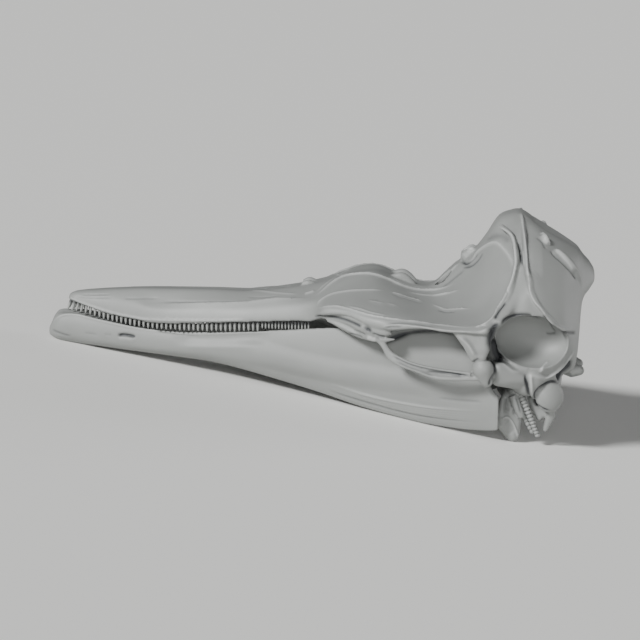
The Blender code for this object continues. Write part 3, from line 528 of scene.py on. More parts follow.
def ellipsoid(name: str, form: Ball, side: Side, grown: float = 0.0, blunt: float = 2.0) -> bpy.types.Mesh:
    """Makes a round form.

    Args:
        name: The mesh's name.
        form: Its centre, radii, and turns about Y and Z in degrees.
        side: Which side it is on.
        grown: How much larger to make each radius.
        blunt: How flat its ends along Y are: 2 is round, and more has steeper walls.

    Returns:
        The mesh.
    """
    (x, y, z), radii, turn_y, turn_z = form
    size = Matrix.Diagonal((*(radius + grown for radius in radii), 1.0))
    turn = Matrix.Rotation(math.radians(turn_y), 4, "Y")
    turn = turn @ Matrix.Rotation(math.radians(-side.value * turn_z), 4, "Z")
    place = Matrix.Translation((x, side.value * y, z))
    mesh = bpy.data.meshes.new(name)
    with open_shape(mesh) as shape:
        bmesh.ops.create_uvsphere(shape, u_segments=BALL_SEGMENTS, v_segments=BALL_RINGS, radius=1.0)
        if blunt > 2.0:
            poles_on_y = Matrix.Rotation(math.radians(90), 4, "X")
            bmesh.ops.transform(shape, matrix=poles_on_y, verts=shape.verts)
            for vert in shape.verts:
                round_share = math.sqrt(max(1 - vert.co.y**2, 1e-9))
                widened = math.sqrt(max(1 - abs(vert.co.y) ** blunt, 0.0)) / round_share
                vert.co.x, vert.co.z = vert.co.x * widened, vert.co.z * widened
        bmesh.ops.transform(shape, matrix=place @ turn @ size, verts=shape.verts)
    return mesh


def plate(name: str, beads: Sequence[Bead], side: Side) -> bpy.types.Mesh:
    """Makes a form drawn tight over balls.

    Args:
        name: The mesh's name.
        beads: Each ball's centre and radius.
        side: Which side it is on.

    Returns:
        The mesh.
    """
    mesh = bpy.data.meshes.new(name)
    with open_shape(mesh) as shape:
        for (x, y, z), radius in beads:
            place = Matrix.Translation((x, side.value * y, z))
            bmesh.ops.create_icosphere(shape, subdivisions=BEAD_SUBDIVISIONS, radius=radius, matrix=place)
        hull = bmesh.ops.convex_hull(shape, input=shape.verts)
        inside = {item for item in hull["geom_interior"] if isinstance(item, bmesh.types.BMVert)}
        bmesh.ops.delete(shape, geom=list(inside), context="VERTS")
        kept = {item for item in hull["geom"] if isinstance(item, bmesh.types.BMFace) and item.is_valid}
        spare = [face for face in shape.faces if face not in kept]
        bmesh.ops.delete(shape, geom=spare, context="FACES")
        bmesh.ops.recalc_face_normals(shape, faces=shape.faces)
    return mesh


def bar(name: str, beads: Sequence[Bead], side: Side) -> bpy.types.Mesh:
    """Makes a tapering round bar along a smooth curve.

    Args:
        name: The mesh's name.
        beads: The places along it, with the radius at each.
        side: Which side it is on.

    Returns:
        The mesh.
    """
    given = [(x, side.value * y, z, radius) for (x, y, z), radius in beads]
    rows = smooth_rows(given, BAR_RINGS_A_BEAD * len(beads))
    centres, radii = rows[:, :3], rows[:, 3]
    headings = np.gradient(centres, axis=0)
    headings /= np.linalg.norm(headings, axis=1)[:, None]
    rings = []
    across = np.cross(headings[0], (0.0, 0.0, 1.0))
    if np.linalg.norm(across) < 0.2:
        across = np.cross(headings[0], (0.0, 1.0, 0.0))
    turns = np.linspace(0, 2 * math.pi, BAR_AROUND, endpoint=False)
    for centre, heading, radius in zip(centres, headings, radii):
        across = across - heading * np.dot(across, heading)
        across /= np.linalg.norm(across)
        upward = np.cross(heading, across)
        rings.append([centre + radius * (across * math.cos(a) + upward * math.sin(a)) for a in turns])
    return ring_loft(name, rings)


def both_sides(make: Callable, forms: Sequence) -> list[bpy.types.Mesh]:
    """Makes several forms on both sides."""
    return [make(f"form_{i}", form, side) for i, form in enumerate(forms) for side in Side]


def evaluated_mesh(thing: bpy.types.Object) -> bpy.types.Mesh:
    """Makes a plain mesh of an object with its modifiers."""
    graph = bpy.context.evaluated_depsgraph_get()
    return bpy.data.meshes.new_from_object(thing.evaluated_get(graph))


def apply_modifiers(thing: bpy.types.Object) -> None:
    """Gives an object the mesh that its modifiers make, and removes them."""
    mesh = evaluated_mesh(thing)
    thing.modifiers.clear()
    thing.data = mesh


def join_meshes(name: str, meshes: Iterable[bpy.types.Mesh]) -> bpy.types.Mesh:
    """Makes one mesh that holds the faces of several."""
    joined = bpy.data.meshes.new(name)
    with open_shape(joined) as shape:
        for mesh in meshes:
            shape.from_mesh(mesh)
    return joined


def fuse(thing: bpy.types.Object, meshes: Sequence[bpy.types.Mesh], voxel: float, smooth: int) -> None:
    """Joins overlapping forms into one skin, and softens where they meet.

    Args:
        thing: The object that gets the skin.
        meshes: The closed forms.
        voxel: How fine the skin is, in millimetres.
        smooth: How many times it is softened.
    """
    thing.data = join_meshes(thing.name, meshes)
    remesh = thing.modifiers.new("fuse", "REMESH")
    remesh.mode = "VOXEL"
    remesh.voxel_size = voxel
    soften = thing.modifiers.new("soften", "SMOOTH")
    soften.factor = 0.5
    soften.iterations = smooth
    apply_modifiers(thing)


def carve(thing: bpy.types.Object, meshes: Sequence[bpy.types.Mesh]) -> None:
    """Cuts closed forms out of an object."""
    tool = add_object(f"{thing.name}_tool", join_meshes("tool", meshes))
    cut = thing.modifiers.new("cut", "BOOLEAN")
    cut.operation = "DIFFERENCE"
    cut.solver = "MANIFOLD"
    cut.object = tool
    apply_modifiers(thing)
    bpy.data.objects.remove(tool)


def thin_out(thing: bpy.types.Object, triangles: int) -> None:
    """Lowers a piece's number of triangles where the surface is plain."""
    thing.data.calc_loop_triangles()
    held = len(thing.data.loop_triangles)
    if held <= triangles:
        return
    collapse = thing.modifiers.new("thin", "DECIMATE")
    collapse.ratio = triangles / held
    apply_modifiers(thing)


def box(name: str, lowest: Place, highest: Place) -> bpy.types.Mesh:
    """Makes a closed box between two corners."""
    size = Vector(highest) - Vector(lowest)
    middle = (Vector(highest) + Vector(lowest)) / 2
    stretch = Matrix.Translation(middle) @ Matrix.Diagonal((*size, 1.0))
    mesh = bpy.data.meshes.new(name)
    with open_shape(mesh) as shape:
        bmesh.ops.create_cube(shape, size=1.0, matrix=stretch)
    return mesh


def mirrored_mesh(mesh: bpy.types.Mesh, name: str) -> bpy.types.Mesh:
    """Makes the same mesh on the other side of the middle plane."""
    made = join_meshes(name, [mesh])
    with open_shape(made) as shape:
        bmesh.ops.transform(shape, matrix=Matrix.Diagonal((1, -1, 1, 1)), verts=shape.verts)
        bmesh.ops.reverse_faces(shape, faces=shape.faces)
    return made


@dataclass(frozen=True)
class Line:
    """A line of relief through pixels of the photograph.

    The height is how far it stands out in millimetres, or in where it is negative, and the width
    is how far it reaches to either side. A step stands out only on the side below or behind it.
    Unless it is wide, its height is also painted: painted shade where it sinks, painted highlight
    where it stands out.
    """

    pixels: tuple[Pixel, ...]
    height: float
    width: float
    relief: Relief = Relief.ROUND
    fade: float = 0.2


@dataclass(frozen=True)
class Fan:
    """Strands spread evenly between two edges, drawn as lines of relief."""

    first: tuple[Pixel, ...]
    last: tuple[Pixel, ...]
    count: int
    height: float
    width: float
    fade: float = 0.35
    places: int = 12

    def lines(self) -> list[Line]:
        """The strands.

        Returns:
            One line for each strand, from the first edge to the last.
        """
        first, last = smooth_rows(self.first, self.places), smooth_rows(self.last, self.places)
        made = []
        for share in np.linspace(0, 1, self.count):
            between = first * (1 - share) + last * share
            made.append(Line(tuple(map(tuple, between)), self.height, self.width, fade=self.fade))
        return made


class ReliefCarver:
    """Draws lines of relief on a mesh, on the surface that the photograph's camera sees, and keeps their
    heights for painted shade and highlight.
    """

    REACH_IN_WIDTHS = 2.6
    RAYS_A_PIXEL = 1.4
    FEWEST_PLACES = 3
    BATCH = 4000
    STEP_EDGE_MM = 0.8

    def __init__(self, mesh: bpy.types.Mesh, sides: Sequence[Side]) -> None:
        """Reads the mesh's places and directions.

        Args:
            mesh: The mesh to draw on, in the skull's frame.
            sides: The sides that get each line.
        """
        self.mesh, self.sides = mesh, sides
        count = len(mesh.vertices)
        flat = np.empty(3 * count)
        mesh.vertices.foreach_get("co", flat)
        self.places = flat.reshape(-1, 3)
        normals = np.empty(3 * count, dtype=np.float32)
        mesh.vertex_normals.foreach_get("vector", normals)
        self.normals = normals.reshape(-1, 3).astype(float)
        self.rise = np.zeros(count)
        self.painted_shade_and_highlight = np.zeros(count)
        shape = bmesh.new()
        shape.from_mesh(mesh)
        self.tree = BVHTree.FromBMesh(shape)
        shape.free()

    def laid(self, pixels: Sequence[Pixel]) -> np.ndarray:
        """Lays a line on the surface that the camera sees.

        Args:
            pixels: The line's pixels.

        Returns:
            Places on the left side, in order.
        """
        eye = Vector(CAMERA.place())
        spread = sum(math.dist(a, b) for a, b in zip(pixels, pixels[1:]))
        hits = []
        for pixel in smooth_rows(pixels, max(4, int(spread * self.RAYS_A_PIXEL))):
            hit = self.tree.ray_cast(eye, CAMERA.ray(pixel))[0]
            if hit is not None:
                hits.append(hit)
        return np.array(hits)

    def draw(self, line: Line) -> None:
        """Adds one line's relief on every side."""
        laid = self.laid(line.pixels)
        if len(laid) < self.FEWEST_PLACES:
            LOG.warning("a line starting at %s misses the surface", line.pixels[0])
            return
        for side in self.sides:
            mirror = np.array([1.0, -side.value, 1.0])
            self.draw_laid(laid * mirror, line, side)

    def draw_laid(self, laid: np.ndarray, line: Line, side: Side) -> None:
        """Adds a line's relief along places on the surface.

        Args:
            laid: The places, in order.
            line: Its height, width and relief.
            side: The side that it is on.
        """
        reach = line.width * self.REACH_IN_WIDTHS
        low, high = laid.min(axis=0) - reach, laid.max(axis=0) + reach
        near = np.nonzero(((self.places > low) & (self.places < high)).all(axis=1))[0]
        headings = np.gradient(laid, axis=0)
        headings /= np.linalg.norm(headings, axis=1)[:, None] + 1e-9
        shares = np.linspace(0, 1, len(laid))
        for start in range(0, len(near), self.BATCH):
            part = near[start : start + self.BATCH]
            gaps = self.places[part][:, None, :] - laid[None, :, :]
            squares = (gaps**2).sum(axis=2)
            nearest = squares.argmin(axis=1)
            away = gaps[np.arange(len(part)), nearest]
            heading, share = headings[nearest], shares[nearest]
            overrun = (away * heading).sum(axis=1)
            across = away - heading * overrun[:, None]
            distance = np.sqrt((across**2).sum(axis=1) + overrun**2)
            turned = np.cross(heading, self.normals[part]) * -side.value
            signed = np.sign((across * turned).sum(axis=1)) * distance
            taper = np.clip(np.minimum(share, 1 - share) / max(line.fade, 1e-6), 0, 1)
            taper = taper * taper * (3 - 2 * taper) if line.fade else 1.0
            raised = line.height * taper * self.profile(line, distance, signed)
            self.rise[part] += raised
            # Narrow lines are also kept for painted shade in their furrows and painted highlight on their
            # ridges; wide ones only move the surface
            if line.relief is not Relief.WIDE:
                self.painted_shade_and_highlight[part] += raised

    def profile(self, line: Line, distance: np.ndarray, signed: np.ndarray) -> np.ndarray:
        """How high a line stands at distances from it.

        Args:
            line: The line.
            distance: Distances from it.
            signed: The same, negative on the side above it.

        Returns:
            Shares of its height.
        """
        d = distance / line.width
        if line.relief is Relief.SHARP:
            return np.clip(1 - d, 0, 1) ** 1.5
        if line.relief is Relief.WIDE:
            return np.clip(1 - d * d / 4, 0, 1) ** 2
        if line.relief is Relief.STEP:
            edge = np.clip(signed / self.STEP_EDGE_MM + 0.5, 0, 1)
            return edge * np.exp(-np.clip(signed, 0, None) / line.width)
        return np.exp(-d * d)

    def finish(self) -> None:
        """Moves the mesh's places by the relief, and stores the height of its fine part there, which the
        material paints as shade where it sinks and highlight where it rises.
        """
        self.mesh.vertices.foreach_set("co", (self.places + self.normals * self.rise[:, None]).ravel())
        layer = self.mesh.attributes.new(RELIEF_LAYER, "FLOAT", "POINT")
        layer.data.foreach_set("value", self.painted_shade_and_highlight)
        self.mesh.update()


def draw_relief(mesh: bpy.types.Mesh, sides: Iterable[Side], lines: Iterable[Line]) -> None:
    """Draws lines of relief on a mesh.

    Args:
        mesh: The mesh, in the skull's frame.
        sides: The sides that get each line.
        lines: The lines, in the photograph's pixels.
    """
    carver = ReliefCarver(mesh, tuple(sides))
    for line in lines:
        carver.draw(line)
    carver.finish()


# Relief on the beak, by pixels of the photograph
BEAK_LINES = (
    # The step along the beak also paints its height: a painted highlight on the side below it, leaving the
    # top darker
    Line(((146, 303.4), (200, 303.2), (240, 302.6), (256, 301), (270, 299.4), (280, 298.4), (313, 298)),
         1.1, 6.0, Relief.STEP),
    Line(((160, 301.8), (200, 301.8), (247, 301)), -0.4, 0.8),
    Line(((70, 297.4), (75, 299.6), (85.4, 304), (109, 312), (133, 317.2), (152, 319.8), (200, 320.6),
          (250, 320)), 0.9, 1.0, Relief.SHARP, 0.05),
    Line(((80, 294.6), (95, 294.6), (112, 294.4)), -0.3, 0.6),
    Line(((75, 297.6), (95, 297.6), (113, 297.4)), -0.3, 0.6),
    Line(((122, 298.6), (140, 298.4), (160, 298.2)), -0.3, 0.6),
    Line(((256, 288.2), (270, 288.9), (282, 287.4), (296, 284.6)), -0.45, 0.8),
    Line(((248, 290.8), (262, 291), (280, 293), (300, 294)), 0.4, 0.9),
    Line(((246, 297.2), (264, 297.2), (280, 295.6)), -0.4, 0.6),
    Line(((304, 294), (310, 292.4), (315, 290.6)), 0.7, 1.3),
)

# Relief on the face, from the crest along the nose down to the cheek's rim
FACE_LINES = (
    Line(((313, 297.6), (322, 290.8), (333, 282.4), (345, 276.2), (360, 273.8), (373, 274.4), (388, 279.4),
          (402, 285.8), (416, 289.6), (432, 290.2), (446, 287), (457, 281)), 1.3, 1.6, Relief.SHARP),
    Line(((316, 292), (325, 284.5), (333, 279), (345, 271.6), (353, 268.8)), 0.7, 1.0, Relief.SHARP),
    Line(((383, 276.8), (392, 278.6), (402, 283.6), (412, 287), (425, 287.8)), -0.9, 0.8),
    Line(((316, 306.4), (321, 299.8), (332, 293.8), (350, 290.6), (372, 289.8), (386, 290.2)), 0.6, 1.0),
    Line(((390, 291.6), (405, 296.2), (425, 302)), 0.8, 0.8, Relief.SHARP),
    Line(((391, 293.6), (405, 298.2), (424, 303.8)), -0.4, 0.7),
    Line(((368, 300.2), (385, 303.2)), 0.5, 0.6, Relief.SHARP),
    Line(((388, 303), (398, 306)), 0.45, 0.6, Relief.SHARP),
    Line(((430, 296.4), (445, 294), (460, 289.4)), 0.45, 0.9),
    Line(((405, 291.4), (425, 295), (440, 294.6), (452, 292)), 0.5, 0.9),
    Line(((431, 303), (440, 307.6), (447, 309.6), (458, 308.8), (472, 308.4)), 0.8, 0.9, Relief.SHARP),
    Line(((438, 309.6), (447, 312), (457, 311)), -0.6, 1.0),
    Line(((314, 310), (322, 307.2), (334, 306.2), (345, 307.8), (358, 311.6), (372, 315.4), (392, 318.8),
          (415, 321.6), (440, 325), (462, 327), (475, 326.4)), 0.9, 1.0, Relief.SHARP),
    Line(((345, 305.8), (360, 308.8), (372, 312.6), (390, 316)), 0.45, 0.7),
    Line(((318, 312), (334, 311.6), (352, 316), (372, 320), (392, 321.6)), 0.4, 2.2),
    Line(((381, 328.2), (387, 325.8), (400, 325), (420, 327), (440, 329.8), (462, 331.6), (475, 331.4)),
         0.7, 0.8, Relief.SHARP),
    Line(((386, 323), (402, 322.4), (420, 324.2), (436, 326.8)), -0.5, 0.8),
    Line(((385, 328.2), (393, 327.2), (402, 327.2)), -0.6, 0.6),
    Line(((313, 317), (326, 316.6), (340, 318.4), (352, 322), (362, 327)), -1.4, 0.9, fade=0.1),
    Line(((362, 326), (366, 328.6), (369, 331), (372, 334.4)), -1.7, 1.5, fade=0.45),
    Line(((316, 319.6), (330, 320.8), (342, 325.8), (352, 331), (360, 335)), 0.7, 1.2),
    Line(((346, 333), (356, 335), (364, 338.4)), -0.7, 0.7),
    Line(((352, 330.4), (360, 332.4), (366, 335.4)), -0.6, 0.7),
    Line(((366, 337), (372, 339.4), (377, 340)), 0.9, 1.4),
    Line(((371, 333), (380, 336.4), (386, 337)), -0.9, 0.8),
    Line(((372, 336.6), (380, 339.6)), -0.6, 0.6),
)

# Relief on the cheek bar, the brow's end and the temple
TEMPLE_LINES = (
    Line(((392, 355), (404, 362.2), (420, 367.8), (440, 371.8), (458, 374.6), (470, 376.4)),
         -1.0, 0.7, fade=0.1),
    Line(((394, 360.6), (408, 367.4), (424, 372.4), (436, 376)), -0.7, 0.6),
    Line(((425, 371), (440, 373.4), (455, 374.8), (463, 376.6)), -0.9, 0.8),
    Line(((456, 335.6), (465, 341.6), (471, 349), (474.6, 358)), 0.6, 0.9),
    Line(((462, 336.6), (470, 343.4), (475, 351), (478, 358)), -0.5, 0.9),
    Line(((488, 326), (485, 340), (482, 356)), 0.8, 2.4, Relief.WIDE),
    Line(((472, 368), (473.6, 362.4), (480, 358.4)), -0.9, 0.8),
    Line(((489, 358.8), (492.6, 363), (494.2, 370), (492.6, 376), (490, 382), (489.6, 389)),
         -1.3, 0.8, fade=0.05),
    Line(((500, 362), (508, 367.4), (514, 371.4), (524, 372)), 0.5, 1.0),
    Line(((497, 225.4), (504, 229), (510, 233.6), (513.6, 240), (515.4, 252), (516, 262), (514.4, 272),
          (511, 284), (506, 296), (500.6, 305), (496.4, 312), (492, 320)), 1.5, 1.3, Relief.SHARP, 0.1),
    Line(((517.8, 241), (519.4, 250), (521.4, 258), (522.6, 267)), -1.1, 0.8),
    Line(((520.6, 243), (523, 254), (524.2, 268)), 0.5, 0.8),
    Line(((508, 300), (501.6, 307), (497, 314), (494.6, 319.4)), -1.5, 0.9),
    Line(((496, 313), (490, 320), (482, 325), (474, 327.4)), 0.9, 1.0, Relief.SHARP),
    Line(((497, 319), (490, 326.6), (484, 331), (477, 333)), 0.5, 0.8),
    Line(((470, 262), (478, 251.6), (489, 244), (497, 243), (504, 249), (510.6, 258.6), (513, 270)),
         0.9, 1.2),
    Line(((462, 266.4), (470, 265.8), (477, 260.6), (483, 252)), -1.0, 1.2),
    Line(((460, 262), (452, 270), (444, 279), (436, 286)), 0.7, 1.2),
    Line(((466, 268), (456, 276), (446, 284), (436, 290)), -0.5, 1.4),
    Line(((461, 251), (468, 249), (476, 248.6)), 1.0, 1.4),
    Line(((460, 258), (464, 262.6), (469, 262.4), (474, 258), (478, 253)), -1.4, 0.9),
    Line(((484, 240), (494, 236), (503, 236), (510, 243)), -0.5, 2.0),
)

# Relief on the occiput, the hollow below it and the skull's base
OCCIPUT_LINES = (
    Line(((521, 211), (523, 225), (525, 239), (526.6, 255), (527.4, 269), (529, 279)),
         1.3, 1.3, Relief.SHARP, 0.1),
    Line(((529, 279), (530.4, 292), (535, 302), (541, 308.6), (548, 318.4), (555, 325), (563, 329.4),
          (577, 331)), 1.2, 1.0, Relief.SHARP, 0.1),
    Line(((529, 222), (532, 240), (533.6, 260), (535, 280)), -1.2, 3.4, Relief.WIDE),
    Line(((560, 331.6), (568, 332.6), (577, 332.6)), -1.0, 0.8),
    Line(((542, 314), (548, 321), (552, 328), (556, 332.6)), -0.8, 0.6),
    Line(((556, 332.6), (550, 334), (545, 333.2)), -0.8, 0.6),
    Line(((552, 322), (560, 330), (566.6, 341)), -0.6, 0.8),
    Line(((540, 232.6), (545.4, 237), (548.6, 246)), 1.3, 1.6),
    Line(((537, 236), (543, 243), (546, 250)), -0.5, 1.0),
    Line(((550.4, 250), (555, 256.4), (562, 262.6), (570, 271), (577, 280)), -1.0, 0.8, fade=0.1),
    Line(((554, 248.6), (561, 254.4), (568, 262.6), (575, 273.6)), 1.2, 2.2),
    Line(((549, 361), (543.6, 367), (539, 373.4)), 1.0, 1.0),
    # Painted shade in the fossa: lines that sink its left wall and the band under its upper rim, and paint
    # them dark
    Line(((499, 321), (494.6, 328), (492.6, 338), (493, 348), (496, 357), (502, 363)),
         -2.6, 2.6, fade=0.15),
    Line(((501, 325), (506, 319.6), (513, 316.6), (522, 315.4), (532, 316.6), (541, 319.6)), -1.5, 1.3),
    # A low swell on the condyle whose height paints it pale, as a painted highlight
    Line(((569, 374), (575, 371), (582, 369)), 1.0, 2.6),
    Line(((529, 373.4), (536, 376.4), (546, 377.6), (557, 370.6), (566, 362)), 0.7, 1.0),
    Line(((525.4, 373), (526.4, 381), (528, 391), (530.4, 400)), -1.8, 0.9, fade=0.3),
    Line(((574, 350), (571, 356), (565, 364.4), (557, 371.4), (549, 376.4), (541, 380)),
         1.0, 1.1, Relief.SHARP),
    # A deep hollow behind the fossa's lower rim, sunk and painted dark as painted shade
    Line(((573, 361), (567.6, 367.6), (561, 374), (556, 378.6)), -3.0, 2.4),
    Line(((530.4, 372), (531.4, 385), (532, 399)), 1.1, 1.0),
    Line(((561, 383), (552, 381.6), (544, 385), (538, 389.6), (534.8, 395), (535, 401), (538.4, 406),
          (544, 409.6), (551, 411.6)), -1.6, 0.9, fade=0.1),
)
CRANIUM_LINES = BEAK_LINES + FACE_LINES + TEMPLE_LINES + OCCIPUT_LINES

# Relief on the lower jaw: its rim, the slit near the chin, painted shadows on its dome under the face, and
# the strands along the angle
JAW_LINES = (
    Line(((117, 335.6), (123, 334.8), (130, 335.6), (136.4, 337.4)), -1.9, 0.8, fade=0.22),
    Line(((118, 338.8), (126, 339.2), (135, 340)), 0.35, 1.2),
    Line(((52, 324), (56.6, 318.4), (64, 315), (77, 315), (95, 319.4), (118, 324.6), (141, 329), (165, 332),
          (190, 333.4), (218, 333), (260, 332), (300, 330.4)), 0.9, 1.2, Relief.SHARP),
    Line(((170, 337.6), (205, 338.4), (240, 338), (275, 336.6)), -1.5, 3.0, Relief.WIDE),
    # Painted shadows on the jaw's dome, cast by the lacrimal and the orbit's roof: the dome is sunk a
    # little there and painted dark
    Line(((379, 344), (386, 340.6), (395, 337), (404, 334.2), (412, 332.6)), -1.7, 1.7, fade=0.45),
    Line(((396, 335), (412, 331.8), (430, 330.6), (446, 331.6), (460, 336), (468, 343)),
         -1.2, 1.0, fade=0.3),
    Line(((51, 329.4), (60, 333.4), (72, 337)), -0.6, 0.8),
    Line(((84, 332.8), (98, 334.6)), -0.3, 0.6),
    Line(((104, 334.4), (112, 335)), -0.25, 0.6),
    Line(((225, 346), (255, 353), (280, 359), (310, 366.6), (340, 372.4), (380, 378), (420, 383),
          (450, 389)), 1.7, 4.5, Relief.WIDE),
    Line(((436, 398), (460, 400.4), (484, 402.4)), -0.35, 0.8),
)
JAW_FANS = (
    Fan(((321, 380.5), (360, 393), (400, 402.6), (440, 408.6), (488, 411.6)),
        ((322, 386), (350, 396), (400, 410), (440, 417), (488, 421)), 5, 0.6, 0.7),
    Fan(((321, 382), (360, 395), (400, 404.6), (440, 410.4), (488, 413.6)),
        ((322, 388), (350, 398), (400, 412), (440, 419), (488, 423)), 5, -0.6, 0.6),
)

# Relief on the ear bone: the furrow behind the bulla's lip, and the oval face at its lower end
EAR_LINES = (
    Line(((505, 393), (506.4, 403), (507.6, 414)), -1.6, 1.5, Relief.WIDE, 0.3),
    Line(((505.4, 394), (506.6, 402), (507.4, 411)), -0.6, 0.8, fade=0.4),
    Line(((501.4, 419), (507, 417), (512, 421.4), (516, 430), (518, 438)), 0.9, 0.9, Relief.SHARP, 0.1),
    Line(((504, 424), (508, 429), (512, 435)), -0.7, 2.4, Relief.WIDE),
    Line(((510, 403), (513.4, 409), (516, 416)), -0.6, 0.8),
    Line(((516, 396), (519, 405), (521.4, 414)), -0.5, 0.8),
)


def srgb(code: str) -> tuple[float, float, float, float]:
    """Turns an sRGB hex colour into a linear one."""
    parts = [int(code.lstrip("#")[k : k + 2], 16) / 255 for k in (0, 2, 4)]
    linear = [c / 12.92 if c <= 0.04045 else ((c + 0.055) / 1.055) ** 2.4 for c in parts]
    return (*linear, 1.0)


def add_node(tree: bpy.types.NodeTree, kind: str, settings: dict, links: dict) -> bpy.types.Node:
    """Adds a node with its settings and links.

    Args:
        tree: The node tree.
        kind: The node's type.
        settings: Values for its properties, or for its inputs by name or number.
        links: The output that feeds each input, by the input's name or number.

    Returns:
        The node.
    """
    node = tree.nodes.new(kind)
    for name, value in settings.items():
        if isinstance(name, str) and hasattr(node, name):
            setattr(node, name, value)
        else:
            node.inputs[name].default_value = value
    for name, output in links.items():
        tree.links.new(output, node.inputs[name])
    return node


def add_sum(
    tree: bpy.types.NodeTree, operation: str, *terms: float | bpy.types.NodeSocket
) -> bpy.types.NodeSocket:
    """Adds a sum to a node tree.

    Args:
        tree: The node tree.
        operation: What is done with the terms.
        terms: Numbers, or outputs that give them.

    Returns:
        The output with the sum's result.
    """
    outputs = {i: term for i, term in enumerate(terms) if isinstance(term, bpy.types.NodeSocket)}
    numbers = {i: term for i, term in enumerate(terms) if i not in outputs}
    return add_node(tree, "ShaderNodeMath", {"operation": operation, **numbers}, outputs).outputs[0]


@dataclass(frozen=True)
class GreyBone:
    """Dry matt grey bone with a faint satin sheen, with painted shade in every fold and painted highlight
    on every ridge.

    The mottling is the slight unevenness of cleaned bone over about 20 mm, and the grain is the
    bone's own, drawn at 0.6 mm so that it shows. Painted shade darkens the furrows, and a painted
    highlight makes the ridges paler: both follow the relief's height, which the mesh carries in
    millimetres.
    """

    name: str = "matt_grey_bone"
    pale: str = "#8C8E8C"
    deep: str = "#828482"
    # The painted shade of the furrows and the painted highlight of the ridges, reached in full at these
    # relief depths
    hollow_painted_shade: str = "#3C3E40"
    ridge_painted_highlight: str = "#B4B6B4"
    furrow_mm: float = 1.3
    ridge_mm: float = 1.5
    roughness: float = 0.52
    ior: float = 1.5
    mottle_mm: float = 20.0
    grain_mm: float = 0.6
    grain_depth_mm: float = 0.1

    def material(self) -> bpy.types.Material:
        """Builds the material."""
        made = bpy.data.materials.new(self.name)
        made.use_nodes = True
        tree = made.node_tree
        shader = tree.nodes["Principled BSDF"]
        shader.inputs["IOR"].default_value = self.ior
        where = add_node(tree, "ShaderNodeTexCoord", {}, {}).outputs["Object"]
        mottle, grain = (
            add_node(
                tree,
                "ShaderNodeTexNoise",
                {"Scale": 1 / (size_mm * MM), "Detail": detail, "Roughness": roughness},
                {"Vector": where},
            )
            for size_mm, detail, roughness in ((self.mottle_mm, 4.0, 0.55), (self.grain_mm, 3.0, 0.6))
        )
        shade = add_node(
            tree,
            "ShaderNodeMix",
            {"data_type": "RGBA", 6: srgb(self.deep), 7: srgb(self.pale)},
            {0: mottle.outputs["Fac"]},
        )
        height = add_node(tree, "ShaderNodeAttribute", {"attribute_name": RELIEF_LAYER}, {}).outputs["Fac"]
        # Painted shade: the colour darkens as the relief sinks into a furrow
        painted_shade = add_node(
            tree,
            "ShaderNodeMapRange",
            {"From Min": -self.furrow_mm, "From Max": 0.0, "To Min": 1.0, "To Max": 0.0},
            {"Value": height},
        )
        painted_shade_mix = add_node(
            tree,
            "ShaderNodeMix",
            {"data_type": "RGBA", 7: srgb(self.hollow_painted_shade)},
            {0: painted_shade.outputs["Result"], 6: shade.outputs[2]},
        )
        # Painted highlight: the colour turns paler as the relief rises to a ridge
        painted_highlight = add_node(
            tree, "ShaderNodeMapRange", {"From Min": 0.0, "From Max": self.ridge_mm}, {"Value": height}
        )
        colour = add_node(
            tree,
            "ShaderNodeMix",
            {"data_type": "RGBA", 7: srgb(self.ridge_painted_highlight)},
            {0: painted_highlight.outputs["Result"], 6: painted_shade_mix.outputs[2]},
        )
        gloss = add_node(
            tree,
            "ShaderNodeMapRange",
            {
                "From Min": 0.3,
                "From Max": 0.7,
                "To Min": self.roughness - 0.05,
                "To Max": self.roughness + 0.06,
            },
            {"Value": mottle.outputs["Fac"]},
        )
        bump = add_node(
            tree,
            "ShaderNodeBump",
            {"Strength": 0.12, "Distance": self.grain_depth_mm * MM},
            {"Height": grain.outputs["Fac"]},
        )
        tree.links.new(colour.outputs[2], shader.inputs["Base Color"])
        tree.links.new(gloss.outputs["Result"], shader.inputs["Roughness"])
        tree.links.new(bump.outputs["Normal"], shader.inputs["Normal"])
        return made


@dataclass
class Cranium:
    """The braincase, face, beak and cheek arches, which grew as one piece."""

    name: str = "cranium_bone"
    face: tuple[Station, ...] = FACE_STATIONS
    braincase: tuple[Station, ...] = BRAINCASE_STATIONS
    base: tuple[tuple[float, ...], ...] = BASE_STATIONS
    face_rings: int = 160
    braincase_rings: int = 90
    half_points: int = 90
    base_rings: int = 70
    base_half_points: int = 33
    core_voxel: float = 1.1
    core_smooth: int = 10
    skin_voxel: float = 0.62
    skin_smooth: int = 3
    triangles: int = 190000

    def build(self, finish: bpy.types.Material) -> bpy.types.Object:
        """Builds and dresses the piece."""
        piece = add_object(self.name)
        core = [
            mirrored_loft("face", self.face, self.face_rings, self.half_points),
            mirrored_loft("braincase", self.braincase, self.braincase_rings, self.half_points),
            base_loft("base", self.base, self.base_rings, self.base_half_points),
        ]
        core += both_sides(ellipsoid, SQUAMOSAL + EXOCCIPITAL)
        fuse(piece, core, self.core_voxel, self.core_smooth)
        carve(piece, [ellipsoid("fossa", TEMPORAL_FOSSA, side, blunt=FOSSA_BLUNT) for side in Side])
        carve(piece, both_sides(ellipsoid, BONY_NOSTRILS))
        carve(piece, [ellipsoid("foramen", FORAMEN_MAGNUM, Side.LEFT)])
        knobs = both_sides(ellipsoid, PAROCCIPITAL + OCCIPITAL_BUMP)
        added = knobs + both_sides(bar, BARS) + both_sides(plate, PLATES)
        fuse(piece, [piece.data, *added], self.skin_voxel, self.skin_smooth)
        draw_relief(piece.data, Side, CRANIUM_LINES)
        thin_out(piece, self.triangles)
        carve(piece, [ellipsoid("socket", EAR_ROOT, side, SOCKET_GAP) for side in Side])
        dress(piece, finish, "cranium")
        return piece


